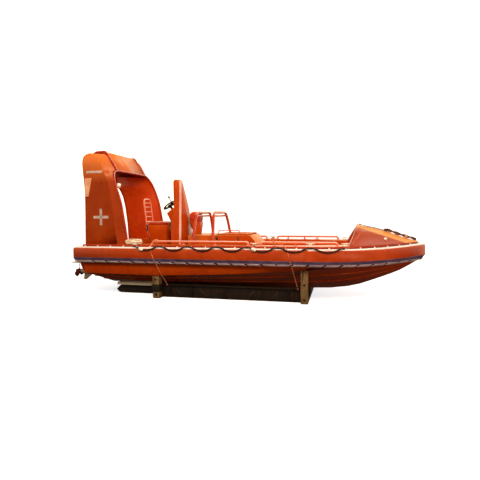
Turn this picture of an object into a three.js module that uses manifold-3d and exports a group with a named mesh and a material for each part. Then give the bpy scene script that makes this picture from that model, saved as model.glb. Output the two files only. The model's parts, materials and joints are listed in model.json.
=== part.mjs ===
// Fast rescue boat, 6 m long, on its storage cradle.
// Millimetres. X forward, Y to port, Z up. The origin is on the floor, under the middle of
// the whole length. Inside the boat group Z = 0 is the top of the gunwale.

import * as THREE from "three";
import { mergeVertices } from "three/addons/utils/BufferGeometryUtils.js";
import Module from "manifold-3d";

const wasm = await Module();
wasm.setup();

// driving sizes
const gap = 0.3;
const gunwaleHeight = 930;
const originShift = 420;

const sheerTop = -30;
const foredeckStart = 1745;
const bowRise = 45;
const bowTip = 2880;
const fenderBottom = -310;
const fenderTop = -32;
const hullSideBottom = -315;
const soleTop = -405;
const linerThickness = 25;
const wellDepth = -430;

const railHeight = 54;
const railY = 900;
const railRadius = 20;

const ropeRadius = 10.5;
const lifelineStart = -1840;
const lifelineEnd = 1655;
const lifelineSpans = 7;

const towerHalfWidth = 930;
const towerInner = 625;
const roofHalf = 545;
const crownHalf = 200;

const lidStart = -560;
const lidEnd = 15;
const lidHalf = 330;
const casingHalf = 400;
const casingTop = 140;

const steerAxisX = -2990;
const tiltAxis = { x: -3055, z: -300 };
const propellerAxis = { x: -3640, z: -640 };

// colours
const paints = {
  orangeGrp: { color: 0xb8380c, roughness: 0.45, metalness: 0 },
  orangeFoam: { color: 0xb64018, roughness: 0.7, metalness: 0 },
  orangeTube: { color: 0xe0683c, roughness: 0.4, metalness: 0.2 },
  slateBand: { color: 0x5d4a62, roughness: 0.6, metalness: 0 },
  blackRubber: { color: 0x1a1a1c, roughness: 0.8, metalness: 0 },
  ropeBrown: { color: 0x2a1a16, roughness: 0.95, metalness: 0 },
  ropeBeige: { color: 0xb79a74, roughness: 0.95, metalness: 0 },
  whitePlastic: { color: 0xe6e2da, roughness: 0.5, metalness: 0 },
  driveGrey: { color: 0x8d8677, roughness: 0.5, metalness: 0.3 },
  propellerRed: { color: 0x5a1c16, roughness: 0.6, metalness: 0.3 },
  engineGrey: { color: 0x55585a, roughness: 0.6, metalness: 0.5 },
  cushionRed: { color: 0xa83a1c, roughness: 0.8, metalness: 0 },
  cradleSteel: { color: 0x2e2620, roughness: 0.85, metalness: 0.4 },
  cradlePost: { color: 0x776851, roughness: 0.9, metalness: 0.1 },
  timber: { color: 0xb9b0a2, roughness: 0.9, metalness: 0 },
};

function paint(name) {
  return new THREE.MeshStandardMaterial(paints[name]);
}

// geometry helpers
function onlyPositions(geometry) {
  const plain = geometry.clone();
  plain.deleteAttribute("normal");
  plain.deleteAttribute("uv");
  return mergeVertices(plain, 1e-3);
}

function signedVolume(positions, index) {
  const a = new THREE.Vector3();
  const b = new THREE.Vector3();
  const c = new THREE.Vector3();
  let sum = 0;
  for (let i = 0; i < index.length; i += 3) {
    a.fromArray(positions, 3 * index[i]);
    b.fromArray(positions, 3 * index[i + 1]);
    c.fromArray(positions, 3 * index[i + 2]);
    sum += a.dot(b.cross(c));
  }
  return sum / 6;
}

function meshGeometry(positions, index) {
  const faces = [...index];
  if (signedVolume(positions, faces) < 0) {
    for (let i = 0; i < faces.length; i += 3) {
      [faces[i + 1], faces[i + 2]] = [faces[i + 2], faces[i + 1]];
    }
  }
  const geometry = new THREE.BufferGeometry();
  geometry.setAttribute("position", new THREE.Float32BufferAttribute(positions, 3));
  geometry.setIndex(faces);
  return geometry;
}

// Triangles that close a flat ring of points.
function capFaces(ring, offset) {
  const normal = new THREE.Vector3();
  ring.forEach((p, i) => {
    const q = ring[(i + 1) % ring.length];
    normal.x += (p.y - q.y) * (p.z + q.z);
    normal.y += (p.z - q.z) * (p.x + q.x);
    normal.z += (p.x - q.x) * (p.y + q.y);
  });
  normal.normalize();
  const helper = Math.abs(normal.z) < 0.9 ? new THREE.Vector3(0, 0, 1) : new THREE.Vector3(1, 0, 0);
  const u = helper.clone().cross(normal).normalize();
  const v = normal.clone().cross(u);
  const flat = ring.map((p) => new THREE.Vector2(p.dot(u), p.dot(v)));
  return THREE.ShapeUtils.triangulateShape(flat, []).flatMap((t) => t.map((i) => i + offset));
}

// A solid through rings of equal point count, closed at both ends.
function loft(rings) {
  const count = rings[0].length;
  const positions = rings.flatMap((ring) => ring.flatMap((p) => [p.x, p.y, p.z]));
  const faces = [];
  for (let r = 0; r + 1 < rings.length; r += 1) {
    for (let i = 0; i < count; i += 1) {
      const j = (i + 1) % count;
      const a = r * count + i;
      const b = r * count + j;
      faces.push(a, b, b + count, a, b + count, a + count);
    }
  }
  const first = capFaces(rings[0], 0);
  const last = capFaces(rings[rings.length - 1], (rings.length - 1) * count);
  for (let i = 0; i < first.length; i += 3) faces.push(first[i], first[i + 2], first[i + 1]);
  faces.push(...last);
  return meshGeometry(positions, faces);
}

// A section of [out, up] points swept along a level or upright polyline with mitred corners.
function sweep(path, section, up = new THREE.Vector3(0, 0, 1)) {
  const points = path.map((p) => new THREE.Vector3(...p));
  const rings = points.map((point, i) => {
    const before = points[Math.max(i - 1, 0)];
    const after = points[Math.min(i + 1, points.length - 1)];
    const first = (i > 0 ? point.clone().sub(before) : after.clone().sub(point)).projectOnPlane(up).normalize();
    const last = (i + 1 < points.length ? after.clone().sub(point) : point.clone().sub(before)).projectOnPlane(up).normalize();
    const along = first.clone().add(last).normalize();
    const out = along.clone().cross(up).normalize();
    const stretch = 1 / Math.max(out.dot(first.clone().cross(up).normalize()), 0.3);
    return section.map(([s, t]) => point.clone().addScaledVector(out, s * stretch).addScaledVector(up, t));
  });
  return loft(rings);
}

// A round bar along a polyline that lies in one plane with the given normal.
function bar(path, radius, planeNormal, sides = 8) {
  const points = path.map((p) => new THREE.Vector3(...p));
  const normal = new THREE.Vector3(...planeNormal).normalize();
  const rings = points.map((point, i) => {
    const back = i > 0 ? point.clone().sub(points[i - 1]).normalize() : null;
    const ahead = i + 1 < points.length ? points[i + 1].clone().sub(point).normalize() : null;
    const first = back ?? ahead;
    const last = ahead ?? back;
    const along = first.clone().add(last).normalize();
    const out = along.clone().cross(normal).normalize();
    const stretch = 1 / Math.max(along.dot(first), 0.4);
    return Array.from({ length: sides }, (_, k) => {
      const angle = (2 * Math.PI * (k + 0.5)) / sides;
      return point.clone()
        .addScaledVector(out, radius * Math.cos(angle) * stretch)
        .addScaledVector(normal, radius * Math.sin(angle));
    });
  });
  return loft(rings);
}

// An outline extruded along one axis; its two coordinates follow in the order x, y, z.
function prism(outline, axis, from, to) {
  const shape = new THREE.Shape(outline.map(([a, b]) => new THREE.Vector2(a, b)));
  const geometry = new THREE.ExtrudeGeometry(shape, { depth: to - from, bevelEnabled: false, steps: 1 });
  geometry.translate(0, 0, from);
  const x = new THREE.Vector3(1, 0, 0);
  const y = new THREE.Vector3(0, 1, 0);
  const z = new THREE.Vector3(0, 0, 1);
  if (axis === "x") geometry.applyMatrix4(new THREE.Matrix4().makeBasis(y, z, x));
  if (axis === "y") {
    geometry.applyMatrix4(new THREE.Matrix4().makeBasis(x, z, y));
    const flat = onlyPositions(geometry);
    return meshGeometry(Array.from(flat.attributes.position.array), Array.from(flat.index.array));
  }
  return geometry;
}

function box(x0, x1, y0, y1, z0, z1) {
  const geometry = new THREE.BoxGeometry(x1 - x0, y1 - y0, z1 - z0);
  return geometry.translate((x0 + x1) / 2, (y0 + y1) / 2, (z0 + z1) / 2);
}

// A round pin between two points.
function pin(from, to, radius, sides = 12) {
  const a = new THREE.Vector3(...from);
  const b = new THREE.Vector3(...to);
  const geometry = new THREE.CylinderGeometry(radius, radius, a.distanceTo(b), sides);
  const turn = new THREE.Quaternion().setFromUnitVectors(new THREE.Vector3(0, 1, 0), b.clone().sub(a).normalize());
  geometry.applyQuaternion(turn);
  const middle = a.clone().add(b).multiplyScalar(0.5);
  return geometry.translate(middle.x, middle.y, middle.z);
}

function toManifold(geometry) {
  const plain = onlyPositions(geometry);
  return new wasm.Manifold(new wasm.Mesh({
    numProp: 3,
    vertProperties: new Float32Array(plain.attributes.position.array),
    triVerts: new Uint32Array(plain.index.array),
  }));
}

function fromManifold(solid) {
  const mesh = solid.getMesh();
  const geometry = new THREE.BufferGeometry();
  geometry.setAttribute("position", new THREE.Float32BufferAttribute(Array.from(mesh.vertProperties), 3));
  geometry.setIndex(Array.from(mesh.triVerts));
  return geometry;
}

function joined(...pieces) {
  return fromManifold(pieces.map(toManifold).reduce((whole, piece) => whole.add(piece)));
}

function cut(base, ...tools) {
  return fromManifold(tools.map(toManifold).reduce((whole, tool) => whole.subtract(tool), toManifold(base)));
}

function common(a, b) {
  return fromManifold(toManifold(a).intersect(toManifold(b)));
}

// What is left of a piece above one level.
function above(geometry, level) {
  return cut(geometry, box(-4000, 4000, -1500, 1500, level - 200, level));
}

function mirrored(geometry) {
  const flat = onlyPositions(geometry);
  const positions = Array.from(flat.attributes.position.array);
  for (let i = 1; i < positions.length; i += 3) positions[i] = -positions[i];
  return meshGeometry(positions, Array.from(flat.index.array));
}

// Straight-line value of one column of a table of rows at a given x.
function atX(table, column, x) {
  for (let i = 0; i + 1 < table.length; i += 1) {
    const a = table[i];
    const b = table[i + 1];
    if (x <= b.x || i + 2 === table.length) {
      const t = (x - a.x) / (b.x - a.x);
      return a[column] + t * (b[column] - a[column]);
    }
  }
  return table[table.length - 1][column];
}

const both = [
  { side: "starboard", sign: -1 },
  { side: "port", sign: 1 },
];

// hull
function rise(x) {
  const share = Math.max(0, (x - foredeckStart) / (bowTip - foredeckStart));
  return bowRise * share ** 2;
}

const stations = [
  { x: -2880, sheer: 1030, chine: 985, chineZ: -520, keelZ: -822 },
  { x: -2810, sheer: 1030, chine: 985, chineZ: -522, keelZ: -825 },
  { x: -1500, sheer: 1030, chine: 990, chineZ: -530, keelZ: -825 },
  { x: -680, sheer: 1030, chine: 988, chineZ: -500, keelZ: -825 },
  { x: 0, sheer: 1030, chine: 980, chineZ: -468, keelZ: -825 },
  { x: 700, sheer: 1030, chine: 955, chineZ: -418, keelZ: -825 },
  { x: 1100, sheer: 1030, chine: 925, chineZ: -388, keelZ: -822 },
  { x: 1440, sheer: 1005, chine: 860, chineZ: -366, keelZ: -810 },
  { x: 1745, sheer: 920, chine: 750, chineZ: -350, keelZ: -772 },
  { x: 1950, sheer: 820, chine: 650, chineZ: -340, keelZ: -722 },
  { x: 2210, sheer: 665, chine: 495, chineZ: -328, keelZ: -626 },
  { x: 2450, sheer: 490, chine: 345, chineZ: -312, keelZ: -532 },
  { x: 2620, sheer: 345, chine: 235, chineZ: -300, keelZ: -454 },
  { x: 2760, sheer: 215, chine: 140, chineZ: -288, keelZ: -370 },
  { x: 2850, sheer: 118, chine: 68, chineZ: -281, keelZ: -312 },
  { x: bowTip, sheer: 60, chine: 26, chineZ: -278, keelZ: -290 },
];

const strakes = [{ at: 0.72 }, { at: 0.4 }];

function hullRing(s) {
  const lift = rise(s.x);
  const bottomHalf = s.chine - 0.03 * s.chine;
  const keelHalf = Math.min(30, 0.2 * s.chine);
  const drop = Math.min(18, 0.08 * (s.chineZ - s.keelZ));
  const bottomY = (t) => keelHalf + t * (bottomHalf - keelHalf);
  const bottomZ = (t) => s.keelZ + t * (s.chineZ - s.keelZ);
  const half = [
    [s.sheer, sheerTop + lift],
    [s.sheer, hullSideBottom + lift],
    [s.chine, s.chineZ],
    [bottomHalf, s.chineZ],
  ];
  for (const strake of strakes) {
    const back = strake.at - drop / (s.chineZ - s.keelZ);
    half.push([bottomY(strake.at), bottomZ(strake.at)]);
    half.push([bottomY(strake.at), bottomZ(strake.at) - drop]);
    half.push([bottomY(back), bottomZ(back)]);
  }
  half.push([keelHalf, s.keelZ]);
  const port = half.map(([y, z]) => new THREE.Vector3(s.x, y, z));
  const starboard = half.map(([y, z]) => new THREE.Vector3(s.x, -y, z)).reverse();
  return [...port, ...starboard];
}

const wellOutline = [
  { x: -2700, half: 620 },
  { x: -2030, half: 620 },
  { x: -1980, half: 790 },
  { x: 900, half: 790 },
  { x: 1250, half: 690 },
  { x: 1650, half: 530 },
  { x: 2000, half: 380 },
];

function wellPlan(inset, stretchEnds = 0) {
  const last = wellOutline.length - 1;
  const port = wellOutline.map((p, i) => {
    const x = p.x + (i === 0 ? inset - stretchEnds : 0) - (i === last ? inset - stretchEnds : 0);
    return [x, p.half - inset];
  });
  return [...port, ...port.map(([x, y]) => [x, -y]).reverse()];
}

const hullBody = loft(stations.map(hullRing));

// Each side of the transom runs aft under the fender, with a raked edge.
const quarterTable = [
  { x: -2876, outer: 1028, low: 988, bottom: -508 },
  { x: -2932, outer: 1018, low: 992, bottom: -440 },
  { x: -2968, outer: 1006, low: 998, bottom: -352 },
];
const quarter = loft(quarterTable.map(({ x, outer, low, bottom }) => [
  [-300, fenderBottom - 0.4], [-300, bottom], [-low, bottom], [-outer, fenderBottom - 0.4],
].map(([y, z]) => new THREE.Vector3(x, y, z))));
const hull = joined(cut(hullBody, prism(wellPlan(0), "z", wellDepth, 100)), quarter, mirrored(quarter));

// Cockpit liner: side decks, well walls and sole in one moulding.
const sheerPath = stations.map((s) => [s.x, s.sheer]);
const flangePort = [[-2880, 1030], [1100, 1030], [1440, 1005], [foredeckStart - gap, 920]];
const flange = prism([...flangePort, ...flangePort.map(([x, y]) => [x, -y]).reverse()], "z", sheerTop + gap, 0);
const tubOutside = prism(wellPlan(gap), "z", wellDepth + gap, sheerTop + gap + 2);
const tubInside = prism(wellPlan(linerThickness), "z", soleTop, 60);
const underForedeck = box(foredeckStart - gap, 2100, -900, 900, sheerTop, 100);
const deckLiner = cut(joined(flange, tubOutside), tubInside, underForedeck);

// foredeck
const foredeckTable = [
  { x: 1745, ridge: 340, creaseY: 510, creaseZ: 198 },
  { x: 1950, ridge: 308, creaseY: 480, creaseZ: 176 },
  { x: 2210, ridge: 256, creaseY: 415, creaseZ: 134 },
  { x: 2450, ridge: 184, creaseY: 310, creaseZ: 94 },
  { x: 2620, ridge: 120, creaseY: 215, creaseZ: 74 },
  { x: 2760, ridge: 76, creaseY: 130, creaseZ: 58 },
  { x: 2850, ridge: 54, creaseY: 60, creaseZ: 50 },
  { x: 2878, ridge: 47, creaseY: 26, creaseZ: 46 },
];

function foredeckRing(row, grow) {
  const edge = atX(stations, "sheer", row.x);
  const lift = rise(row.x);
  const margin = Math.min(70, edge * 0.25);
  const half = [
    [0, row.ridge + grow],
    [row.creaseY, row.creaseZ + grow],
    [edge - margin + grow, 4 + lift],
    [edge - grow * 0.05, lift],
    [edge - grow * 0.05, sheerTop + lift + gap],
  ];
  const port = half.map(([y, z]) => new THREE.Vector3(row.x, y, z));
  const starboard = half.slice(1).map(([y, z]) => new THREE.Vector3(row.x, -y, z)).reverse();
  return [...port, ...starboard];
}

const slant = 150 / 320;
const lipWidth = 62;
const foredeckShell = loft(foredeckTable.map((row) => foredeckRing(row, 0)));
const lipShell = loft(foredeckTable.slice(0, 3).map((row) => foredeckRing(row, 14)));
const slantLine = (offset) => [
  [foredeckStart + offset, -100],
  [foredeckStart + offset, 0],
  [foredeckStart + offset + 400 * slant, 400],
];
const lip = common(lipShell, prism([
  ...slantLine(0),
  ...slantLine(lipWidth).reverse(),
], "y", -1000, 1000));
const slantCutter = prism([
  [foredeckStart, 0],
  [foredeckStart + 500 * slant, 500],
  [foredeckStart - 300, 500],
  [foredeckStart - 300, 0],
], "y", -1100, 1100);
const shelterTable = [
  { x: 1700, low: 490, shoulder: 430, shoulderZ: 150, top: 285 },
  { x: 1985, low: 365, shoulder: 330, shoulderZ: 130, top: 245 },
];
const shelter = loft(shelterTable.map((s) => [
  [-s.low, -80], [-s.low, 40], [-s.shoulder, s.shoulderZ], [0, s.top],
  [s.shoulder, s.shoulderZ], [s.low, 40], [s.low, -80],
].map(([y, z]) => new THREE.Vector3(s.x, y, z))));
const foredeck = cut(joined(foredeckShell, lip), slantCutter, shelter);

// fender and its lower band
// Columns: out from the hull side, up from the gunwale.
const fenderSection = [
  [gap, fenderTop], [78, fenderTop], [104, fenderTop - 10], [117, fenderTop - 34], [120, fenderTop - 63],
  [120, -221.7], [107.7, -221.7], [37.7, fenderBottom], [gap, fenderBottom],
];
const bandSection = [[120, -222], [108, -222], [38, fenderBottom], [50, fenderBottom]];
const bowStart = 1100;
const sternInner = 340;
const sidePath = [
  [-2880, sternInner, 0], [-2880, 1030, 0], [bowStart - 2, 1030, 0],
];
const bowPort = stations.filter((s) => s.x >= bowStart).map((s) => [s.x, s.sheer, rise(s.x)]);
const bowPath = [...bowPort, ...bowPort.map(([x, y, z]) => [x, -y, z]).reverse()];

// tower
// Columns: height, then the corners of the outline, each with its half width: rear, panel edge, bevel and
// inner front edge. Last, how far the rear wall reaches in.
const towerTable = [
  { z: gap, rear: [-2905, 930], panel: [-2252, 930], bevel: [-2130, 835], front: [-2118, 815], arch: 660 },
  { z: 350, rear: [-2898, 927], panel: [-2300, 927], bevel: [-2177, 832], front: [-2165, 812], arch: 617 },
  { z: 700, rear: [-2894, 922], panel: [-2350, 922], bevel: [-2234, 828], front: [-2222, 808], arch: 530 },
  { z: 900, rear: [-2894, 919], panel: [-2372, 919], bevel: [-2290, 826], front: [-2278, 806], arch: 445 },
  { z: 1040, rear: [-2900, 917], panel: [-2405, 917], bevel: [-2340, 825], front: [-2328, 800], arch: 330 },
  { z: 1119, rear: [-2908, 914], panel: [-2430, 914], bevel: [-2362, 824], front: [-2352, 785], arch: crownHalf },
  { z: 1170, rear: [-2914, 912], panel: [-2447, 912], bevel: [-2382, 822], front: [-2374, 768], arch: crownHalf },
  { z: 1250, rear: [-2925, 908], panel: [-2492, 890], bevel: [-2430, 798], front: [-2412, 715], arch: crownHalf },
  { z: 1299, rear: [-2931, 906], panel: [-2524, 860], bevel: [-2462, 768], front: [-2434, 655], arch: crownHalf },
  { z: 1300, rear: [-2931, 906], panel: [-2524, 860], bevel: [-2462, 768], front: [-2434, towerInner], arch: towerInner },
  { z: 1350, rear: [-2934, 905], panel: [-2562, 825], bevel: [-2496, 736], front: [-2440, towerInner], arch: towerInner },
  { z: 1400, rear: [-2937, 905], panel: [-2589, 808], bevel: [-2522, 722], front: [-2468, towerInner], arch: towerInner },
  { z: 1450, rear: [-2940, 905], panel: [-2612, 798], bevel: [-2550, 704], front: [-2496, towerInner], arch: towerInner },
  { z: 1500, rear: [-2937, 900], panel: [-2637, 778], bevel: [-2575, 694], front: [-2522, towerInner], arch: towerInner },
  { z: 1550, rear: [-2930, 893], panel: [-2657, 758], bevel: [-2602, 686], front: [-2550, towerInner], arch: towerInner },
  { z: 1590, rear: [-2914, 878], panel: [-2682, 738], bevel: [-2630, 678], front: [-2578, towerInner], arch: towerInner },
  { z: 1622, rear: [-2888, 850], panel: [-2706, 716], bevel: [-2660, 670], front: [-2614, towerInner], arch: towerInner },
  { z: 1645, rear: [-2850, 812], panel: [-2735, 700], bevel: [-2692, 662], front: [-2658, towerInner], arch: towerInner },
];

function towerRing({ z, rear, panel, bevel, front, arch }) {
  const middle = (front[1] + arch) / 2;
  return [
    [rear[0], arch],
    [rear[0], rear[1] - 14],
    [rear[0] + 12, rear[1]],
    panel,
    bevel,
    [front[0], front[1] + 8],
    [front[0] - 12, front[1]],
    [rear[0] + 170, middle],
    [rear[0] + 45, arch],
  ].map(([x, half]) => new THREE.Vector3(x, -half, z));
}

const towerLeg = loft(towerTable.map(towerRing));

const roofInside = [
  [-2484, 1324], [-2605, 1490], [-2680, 1566], [-2836, 1566], [-2880, 1528], [-2890, 1450], [-2880, 1300 + gap],
];
const roofOuter = [
  [-2928, 1300 + gap], [-2942, 1450], [-2936, 1570], [-2910, 1655], [-2850, 1697], [-2665, 1697],
  [-2550, 1527], [-2434, 1345], [-2434, 1324], ...roofInside,
];
const roofInset = [
  [-2914, 1300 + gap], [-2920, 1450], [-2912, 1545], [-2884, 1595], [-2845, 1612], [-2655, 1612],
  [-2608, 1585], [-2548, 1495], [-2466, 1345], [-2474, 1330], ...roofInside.slice(1),
];
const archCrown = [
  [-crownHalf + gap, 1119], [-160, 1146], [-90, 1168], [0, 1176], [90, 1168], [160, 1146], [crownHalf - gap, 1119],
  [crownHalf - gap, 1310], [-crownHalf + gap, 1310],
];
const towerRoof = joined(
  prism(archCrown, "x", -2922, -2884),
  prism(roofOuter, "y", -roofHalf, roofHalf),
  prism(roofInset, "y", -(towerInner - gap), towerInner - gap),
);

// rails
function sideRail(x0, x1, stanchions) {
  const foot = gap;
  const path = [
    [x0, -railY, foot], [x0, -railY, 24], [x0 + 11, -railY, 43], [x0 + 30, -railY, railHeight],
    [x1 - 30, -railY, railHeight], [x1 - 11, -railY, 43], [x1, -railY, 24], [x1, -railY, foot],
  ];
  const posts = stanchions.map((x) => pin([x, -railY, foot], [x, -railY, railHeight], 14, 8));
  return joined(bar(path, railRadius, [0, 1, 0]), ...posts);
}

const sideRails = [
  { name: "aft_rail", from: -1580, to: 130, posts: [-1010, -440] },
  { name: "forward_rail", from: 350, to: 1566, posts: [568, 905] },
];

// lifeline
// Columns: share of one span, out from the hull side, up from the gunwale.
const lifelineRest = { out: 74, up: fenderTop + ropeRadius + 0.35 };
const lifelineShape = [
  { share: 0, ...lifelineRest },
  { share: 0.13, out: 122, up: -23 },
  { share: 0.32, out: 136, up: -70 },
  { share: 0.5, out: 136, up: -88 },
  { share: 0.68, out: 136, up: -70 },
  { share: 0.87, out: 122, up: -23 },
];

function beside(x, out, up) {
  const edge = atX(stations, "sheer", x);
  const slope = (atX(stations, "sheer", x + 4) - atX(stations, "sheer", x - 4)) / 8;
  const length = Math.hypot(slope, 1);
  return [x - (slope / length) * out, edge + out / length, up];
}

function lifeline() {
  const length = (lifelineEnd - lifelineStart) / lifelineSpans;
  const points = [];
  for (let n = 0; n < lifelineSpans; n += 1) {
    for (const s of lifelineShape) {
      points.push(beside(lifelineStart + (n + s.share) * length, s.out, s.up));
    }
  }
  points.push(beside(lifelineEnd, lifelineRest.out, lifelineRest.up));
  const rings = points.map(([x, y, z]) => Array.from({ length: 6 }, (_, k) => {
    const angle = (2 * Math.PI * (k + 0.5)) / 6;
    return new THREE.Vector3(x, -(y + ropeRadius * Math.cos(angle)), z + ropeRadius * Math.sin(angle));
  }));
  return loft(rings);
}

// console
const consoleTable = [
  { z: soleTop + gap, back: -1490, side: -1330, nose: -1215, half: 350 },
  { z: 380, back: -1500, side: -1350, nose: -1235, half: 310 },
  { z: 650, back: -1462, side: -1388, nose: -1272, half: 240 },
  { z: 900, back: -1480, side: -1412, nose: -1325, half: 195 },
  { z: 1140, back: -1500, side: -1440, nose: -1380, half: 150 },
  { z: 1182, back: -1485, side: -1450, nose: -1400, half: 128 },
];

function consoleRing(r) {
  const half = [
    [r.back, r.half * 0.9],
    [r.back + 15, r.half],
    [r.side, r.half],
    [r.side + 0.62 * (r.nose - r.side), r.half * 0.8],
    [r.nose, r.half * 0.35],
  ];
  const port = half.map(([x, y]) => new THREE.Vector3(x, y, r.z));
  const starboard = half.map(([x, y]) => new THREE.Vector3(x, -y, r.z)).reverse();
  return [...port, ...starboard];
}

const dash = prism([[-1440, 650], [-1462, 650], [-1600, 545], [-1520, 390], [-1440, 380]], "y", -235, 235);
const consoleBody = joined(loft(consoleTable.map(consoleRing)), dash);

const grabTubeTop = { x: -1338, y: -178, z: 1176 };
const grabTubeFoot = { x: -1279, y: -402, z: soleTop + gap };

const grabTube = cut(
  above(pin(
    [grabTubeFoot.x, grabTubeFoot.y, grabTubeFoot.z],
    [grabTubeTop.x, grabTubeTop.y, grabTubeTop.z], 23, 10,
  ), soleTop + gap),
  consoleBody.clone().translate(0, -gap, 0),
);

// Steering wheel: tilted plane, hub and column on the dash.
const wheelCentre = { x: -1640, z: 700 };
const wheelTilt = THREE.MathUtils.degToRad(37);
const wheelRadius = 126;
function wheelPlace(geometry) {
  const turned = onlyPositions(geometry);
  turned.rotateY(-wheelTilt);
  return turned.translate(wheelCentre.x, 0, wheelCentre.z);
}
const wheelRim = wheelPlace(new THREE.TorusGeometry(wheelRadius, 14, 8, 24));
const wheelSpokes = [0, 1, 2].map((n) => {
  const angle = (2 * Math.PI * n) / 3 + Math.PI / 2;
  const reach = wheelRadius - 4;
  return wheelPlace(pin([0, 0, -14], [reach * Math.cos(angle), reach * Math.sin(angle), 0], 9, 6));
});
const wheelHub = wheelPlace(pin([0, 0, -26], [0, 0, 6], 34, 12));
const wheelShaft = wheelPlace(pin([0, 0, -30.7], [0, 0, -20], 11, 10));
const steeringWheel = joined(wheelRim, wheelHub, wheelShaft, ...wheelSpokes);
const column = cut(wheelPlace(pin([0, 0, -175], [0, 0, -31], 24, 10)), consoleBody.clone().translate(-gap, 0, gap));

// engine casing, lid and engine
const casingOutline = [
  [-1115, soleTop + gap], [-1115, casingTop - 12], [-1100, casingTop], [50, casingTop], [60, casingTop - 10],
  [185, -20], [200, soleTop + gap],
];
const casingBody = prism(casingOutline, "y", -casingHalf, casingHalf);
const casingHollow = joined(
  box(-1075, 120, -casingHalf + 30, casingHalf - 30, soleTop - 5, -110),
  box(-1075, 20, -casingHalf + 30, casingHalf - 30, -120, casingTop - 30),
);
const lidCut = box(lidStart, lidEnd, -lidHalf, lidHalf, casingTop - 60, casingTop + 40);
const casingCut = cut(casingBody, casingHollow, lidCut);
const lidClear = 6;
const lidHinge = { x: 35, z: casingTop + 18, radius: 12, inner: 200, outer: 260 };
const lidKnuckles = both.map(({ sign }) => joined(
  pin([lidHinge.x, sign * lidHinge.inner, lidHinge.z], [lidHinge.x, sign * lidHinge.outer, lidHinge.z], lidHinge.radius, 10),
  box(lidEnd - 20, lidHinge.x, sign < 0 ? -lidHinge.outer : lidHinge.inner, sign < 0 ? -lidHinge.inner : lidHinge.outer,
    casingTop + 13, casingTop + 23),
));
const engineLid = joined(
  box(lidStart + lidClear, lidEnd - lidClear, -lidHalf + lidClear, lidHalf - lidClear, casingTop - 28, casingTop + 16),
  box(lidStart - 20, lidEnd - lidClear, -lidHalf - 20, lidHalf + 20, casingTop + 6, casingTop + 24),
  ...lidKnuckles,
);
const hingeEars = both.map(({ sign }) => {
  const inner = sign * (lidHinge.inner - gap);
  const outer = sign * (lidHinge.inner - 26);
  return box(lidHinge.x - 12, lidHinge.x + 12, Math.min(inner, outer), Math.max(inner, outer), casingTop - 8, lidHinge.z + 12);
});
const engineCasing = joined(casingCut, ...hingeEars);

// seats
function blockRing(z, x0, x1, half, corner) {
  return [
    [x0 + corner, -half], [x1 - corner, -half], [x1, -half + corner], [x1, half - corner],
    [x1 - corner, half], [x0 + corner, half], [x0, half - corner], [x0, -half + corner],
  ].map(([x, y]) => new THREE.Vector3(x, y, z));
}

const helmSeatBase = loft([
  blockRing(soleTop + gap, -1985, -1645, 195, 40),
  blockRing(200, -2020, -1620, 215, 45),
  blockRing(325, -2034, -1605, 222, 50),
]);
const helmCushion = loft([
  blockRing(325 + gap, -2044, -1600, 225, 55),
  blockRing(350, -2048, -1595, 232, 60),
  blockRing(372, -2040, -1605, 222, 60),
  blockRing(384, -2020, -1635, 190, 50),
]);
const forwardSeatBase = loft([
  blockRing(casingTop + gap, -1108, -1012, 120, 36),
  blockRing(300, -1180, -990, 150, 62),
  blockRing(380, -1206, -985, 165, 70),
]);
const forwardCushion = loft([
  blockRing(380 + gap, -1209, -982, 168, 70),
  blockRing(460, -1208, -978, 170, 75),
  blockRing(520, -1198, -988, 158, 72),
  blockRing(556, -1180, -1006, 132, 62),
  blockRing(575, -1150, -1036, 92, 44),
]);

// Backrest: a tube hoop with rungs, leaning aft from the seat.
const backrest = { footX: -2046, footZ: 150, topX: -2120, topZ: 820, half: 140, radius: 14 };
function backrestPoint(y, share) {
  return [
    backrest.footX + share * (backrest.topX - backrest.footX), y,
    backrest.footZ + share * (backrest.topZ - backrest.footZ),
  ];
}
const backrestNormal = [backrest.topZ - backrest.footZ, 0, backrest.footX - backrest.topX];
const backrestHoop = bar([
  backrestPoint(-backrest.half, 0), backrestPoint(-backrest.half, 0.9), backrestPoint(-backrest.half + 22, 0.965),
  backrestPoint(-backrest.half + 70, 1), backrestPoint(backrest.half - 70, 1), backrestPoint(backrest.half - 22, 0.965),
  backrestPoint(backrest.half, 0.9), backrestPoint(backrest.half, 0),
], backrest.radius, backrestNormal, 8);
const rungs = [0.35, 0.49, 0.63, 0.77, 0.89].map((share) =>
  pin(backrestPoint(-backrest.half, share), backrestPoint(backrest.half, share), 9, 6));
const backrestFeet = [-1, 1].map((sign) => {
  const [x, y, z] = backrestPoint(sign * backrest.half, 0.06);
  return pin([x, y, z], [-1996, y, z], 10, 8);
});
const seatBackrest = cut(joined(backrestHoop, ...rungs, ...backrestFeet), helmSeatBase.clone().translate(-gap, 0, 0));

// grab hoops over the casing
const hoops = [
  { name: "grab_hoop_aft", footX: -945, topX: -938 },
  { name: "grab_hoop_forward", footX: -526, topX: -612 },
];
const hoopShape = [
  { y: 622, z: soleTop + gap }, { y: 614, z: 30 }, { y: 600, z: 120 }, { y: 562, z: 210 }, { y: 515, z: 330 },
  { y: 457, z: 450 }, { y: 420, z: 502 }, { y: 375, z: 535 }, { y: 325, z: 549 }, { y: 285, z: 551 },
];
function grabHoop({ footX, topX }) {
  const low = hoopShape[0].z;
  const high = hoopShape[hoopShape.length - 1].z;
  const xAt = (z) => footX + ((z - low) / (high - low)) * (topX - footX);
  const near = hoopShape.map(({ y, z }) => [xAt(z), -y, z]);
  const far = hoopShape.map(({ y, z }) => [xAt(z), y, z]).reverse();
  const cross = 488;
  return above(joined(
    bar([...near, ...far], 22, [high - low, 0, footX - topX], 8),
    pin([xAt(cross), -427, cross], [xAt(cross), 427, cross], 14, 8),
  ), soleTop + gap);
}

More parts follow.
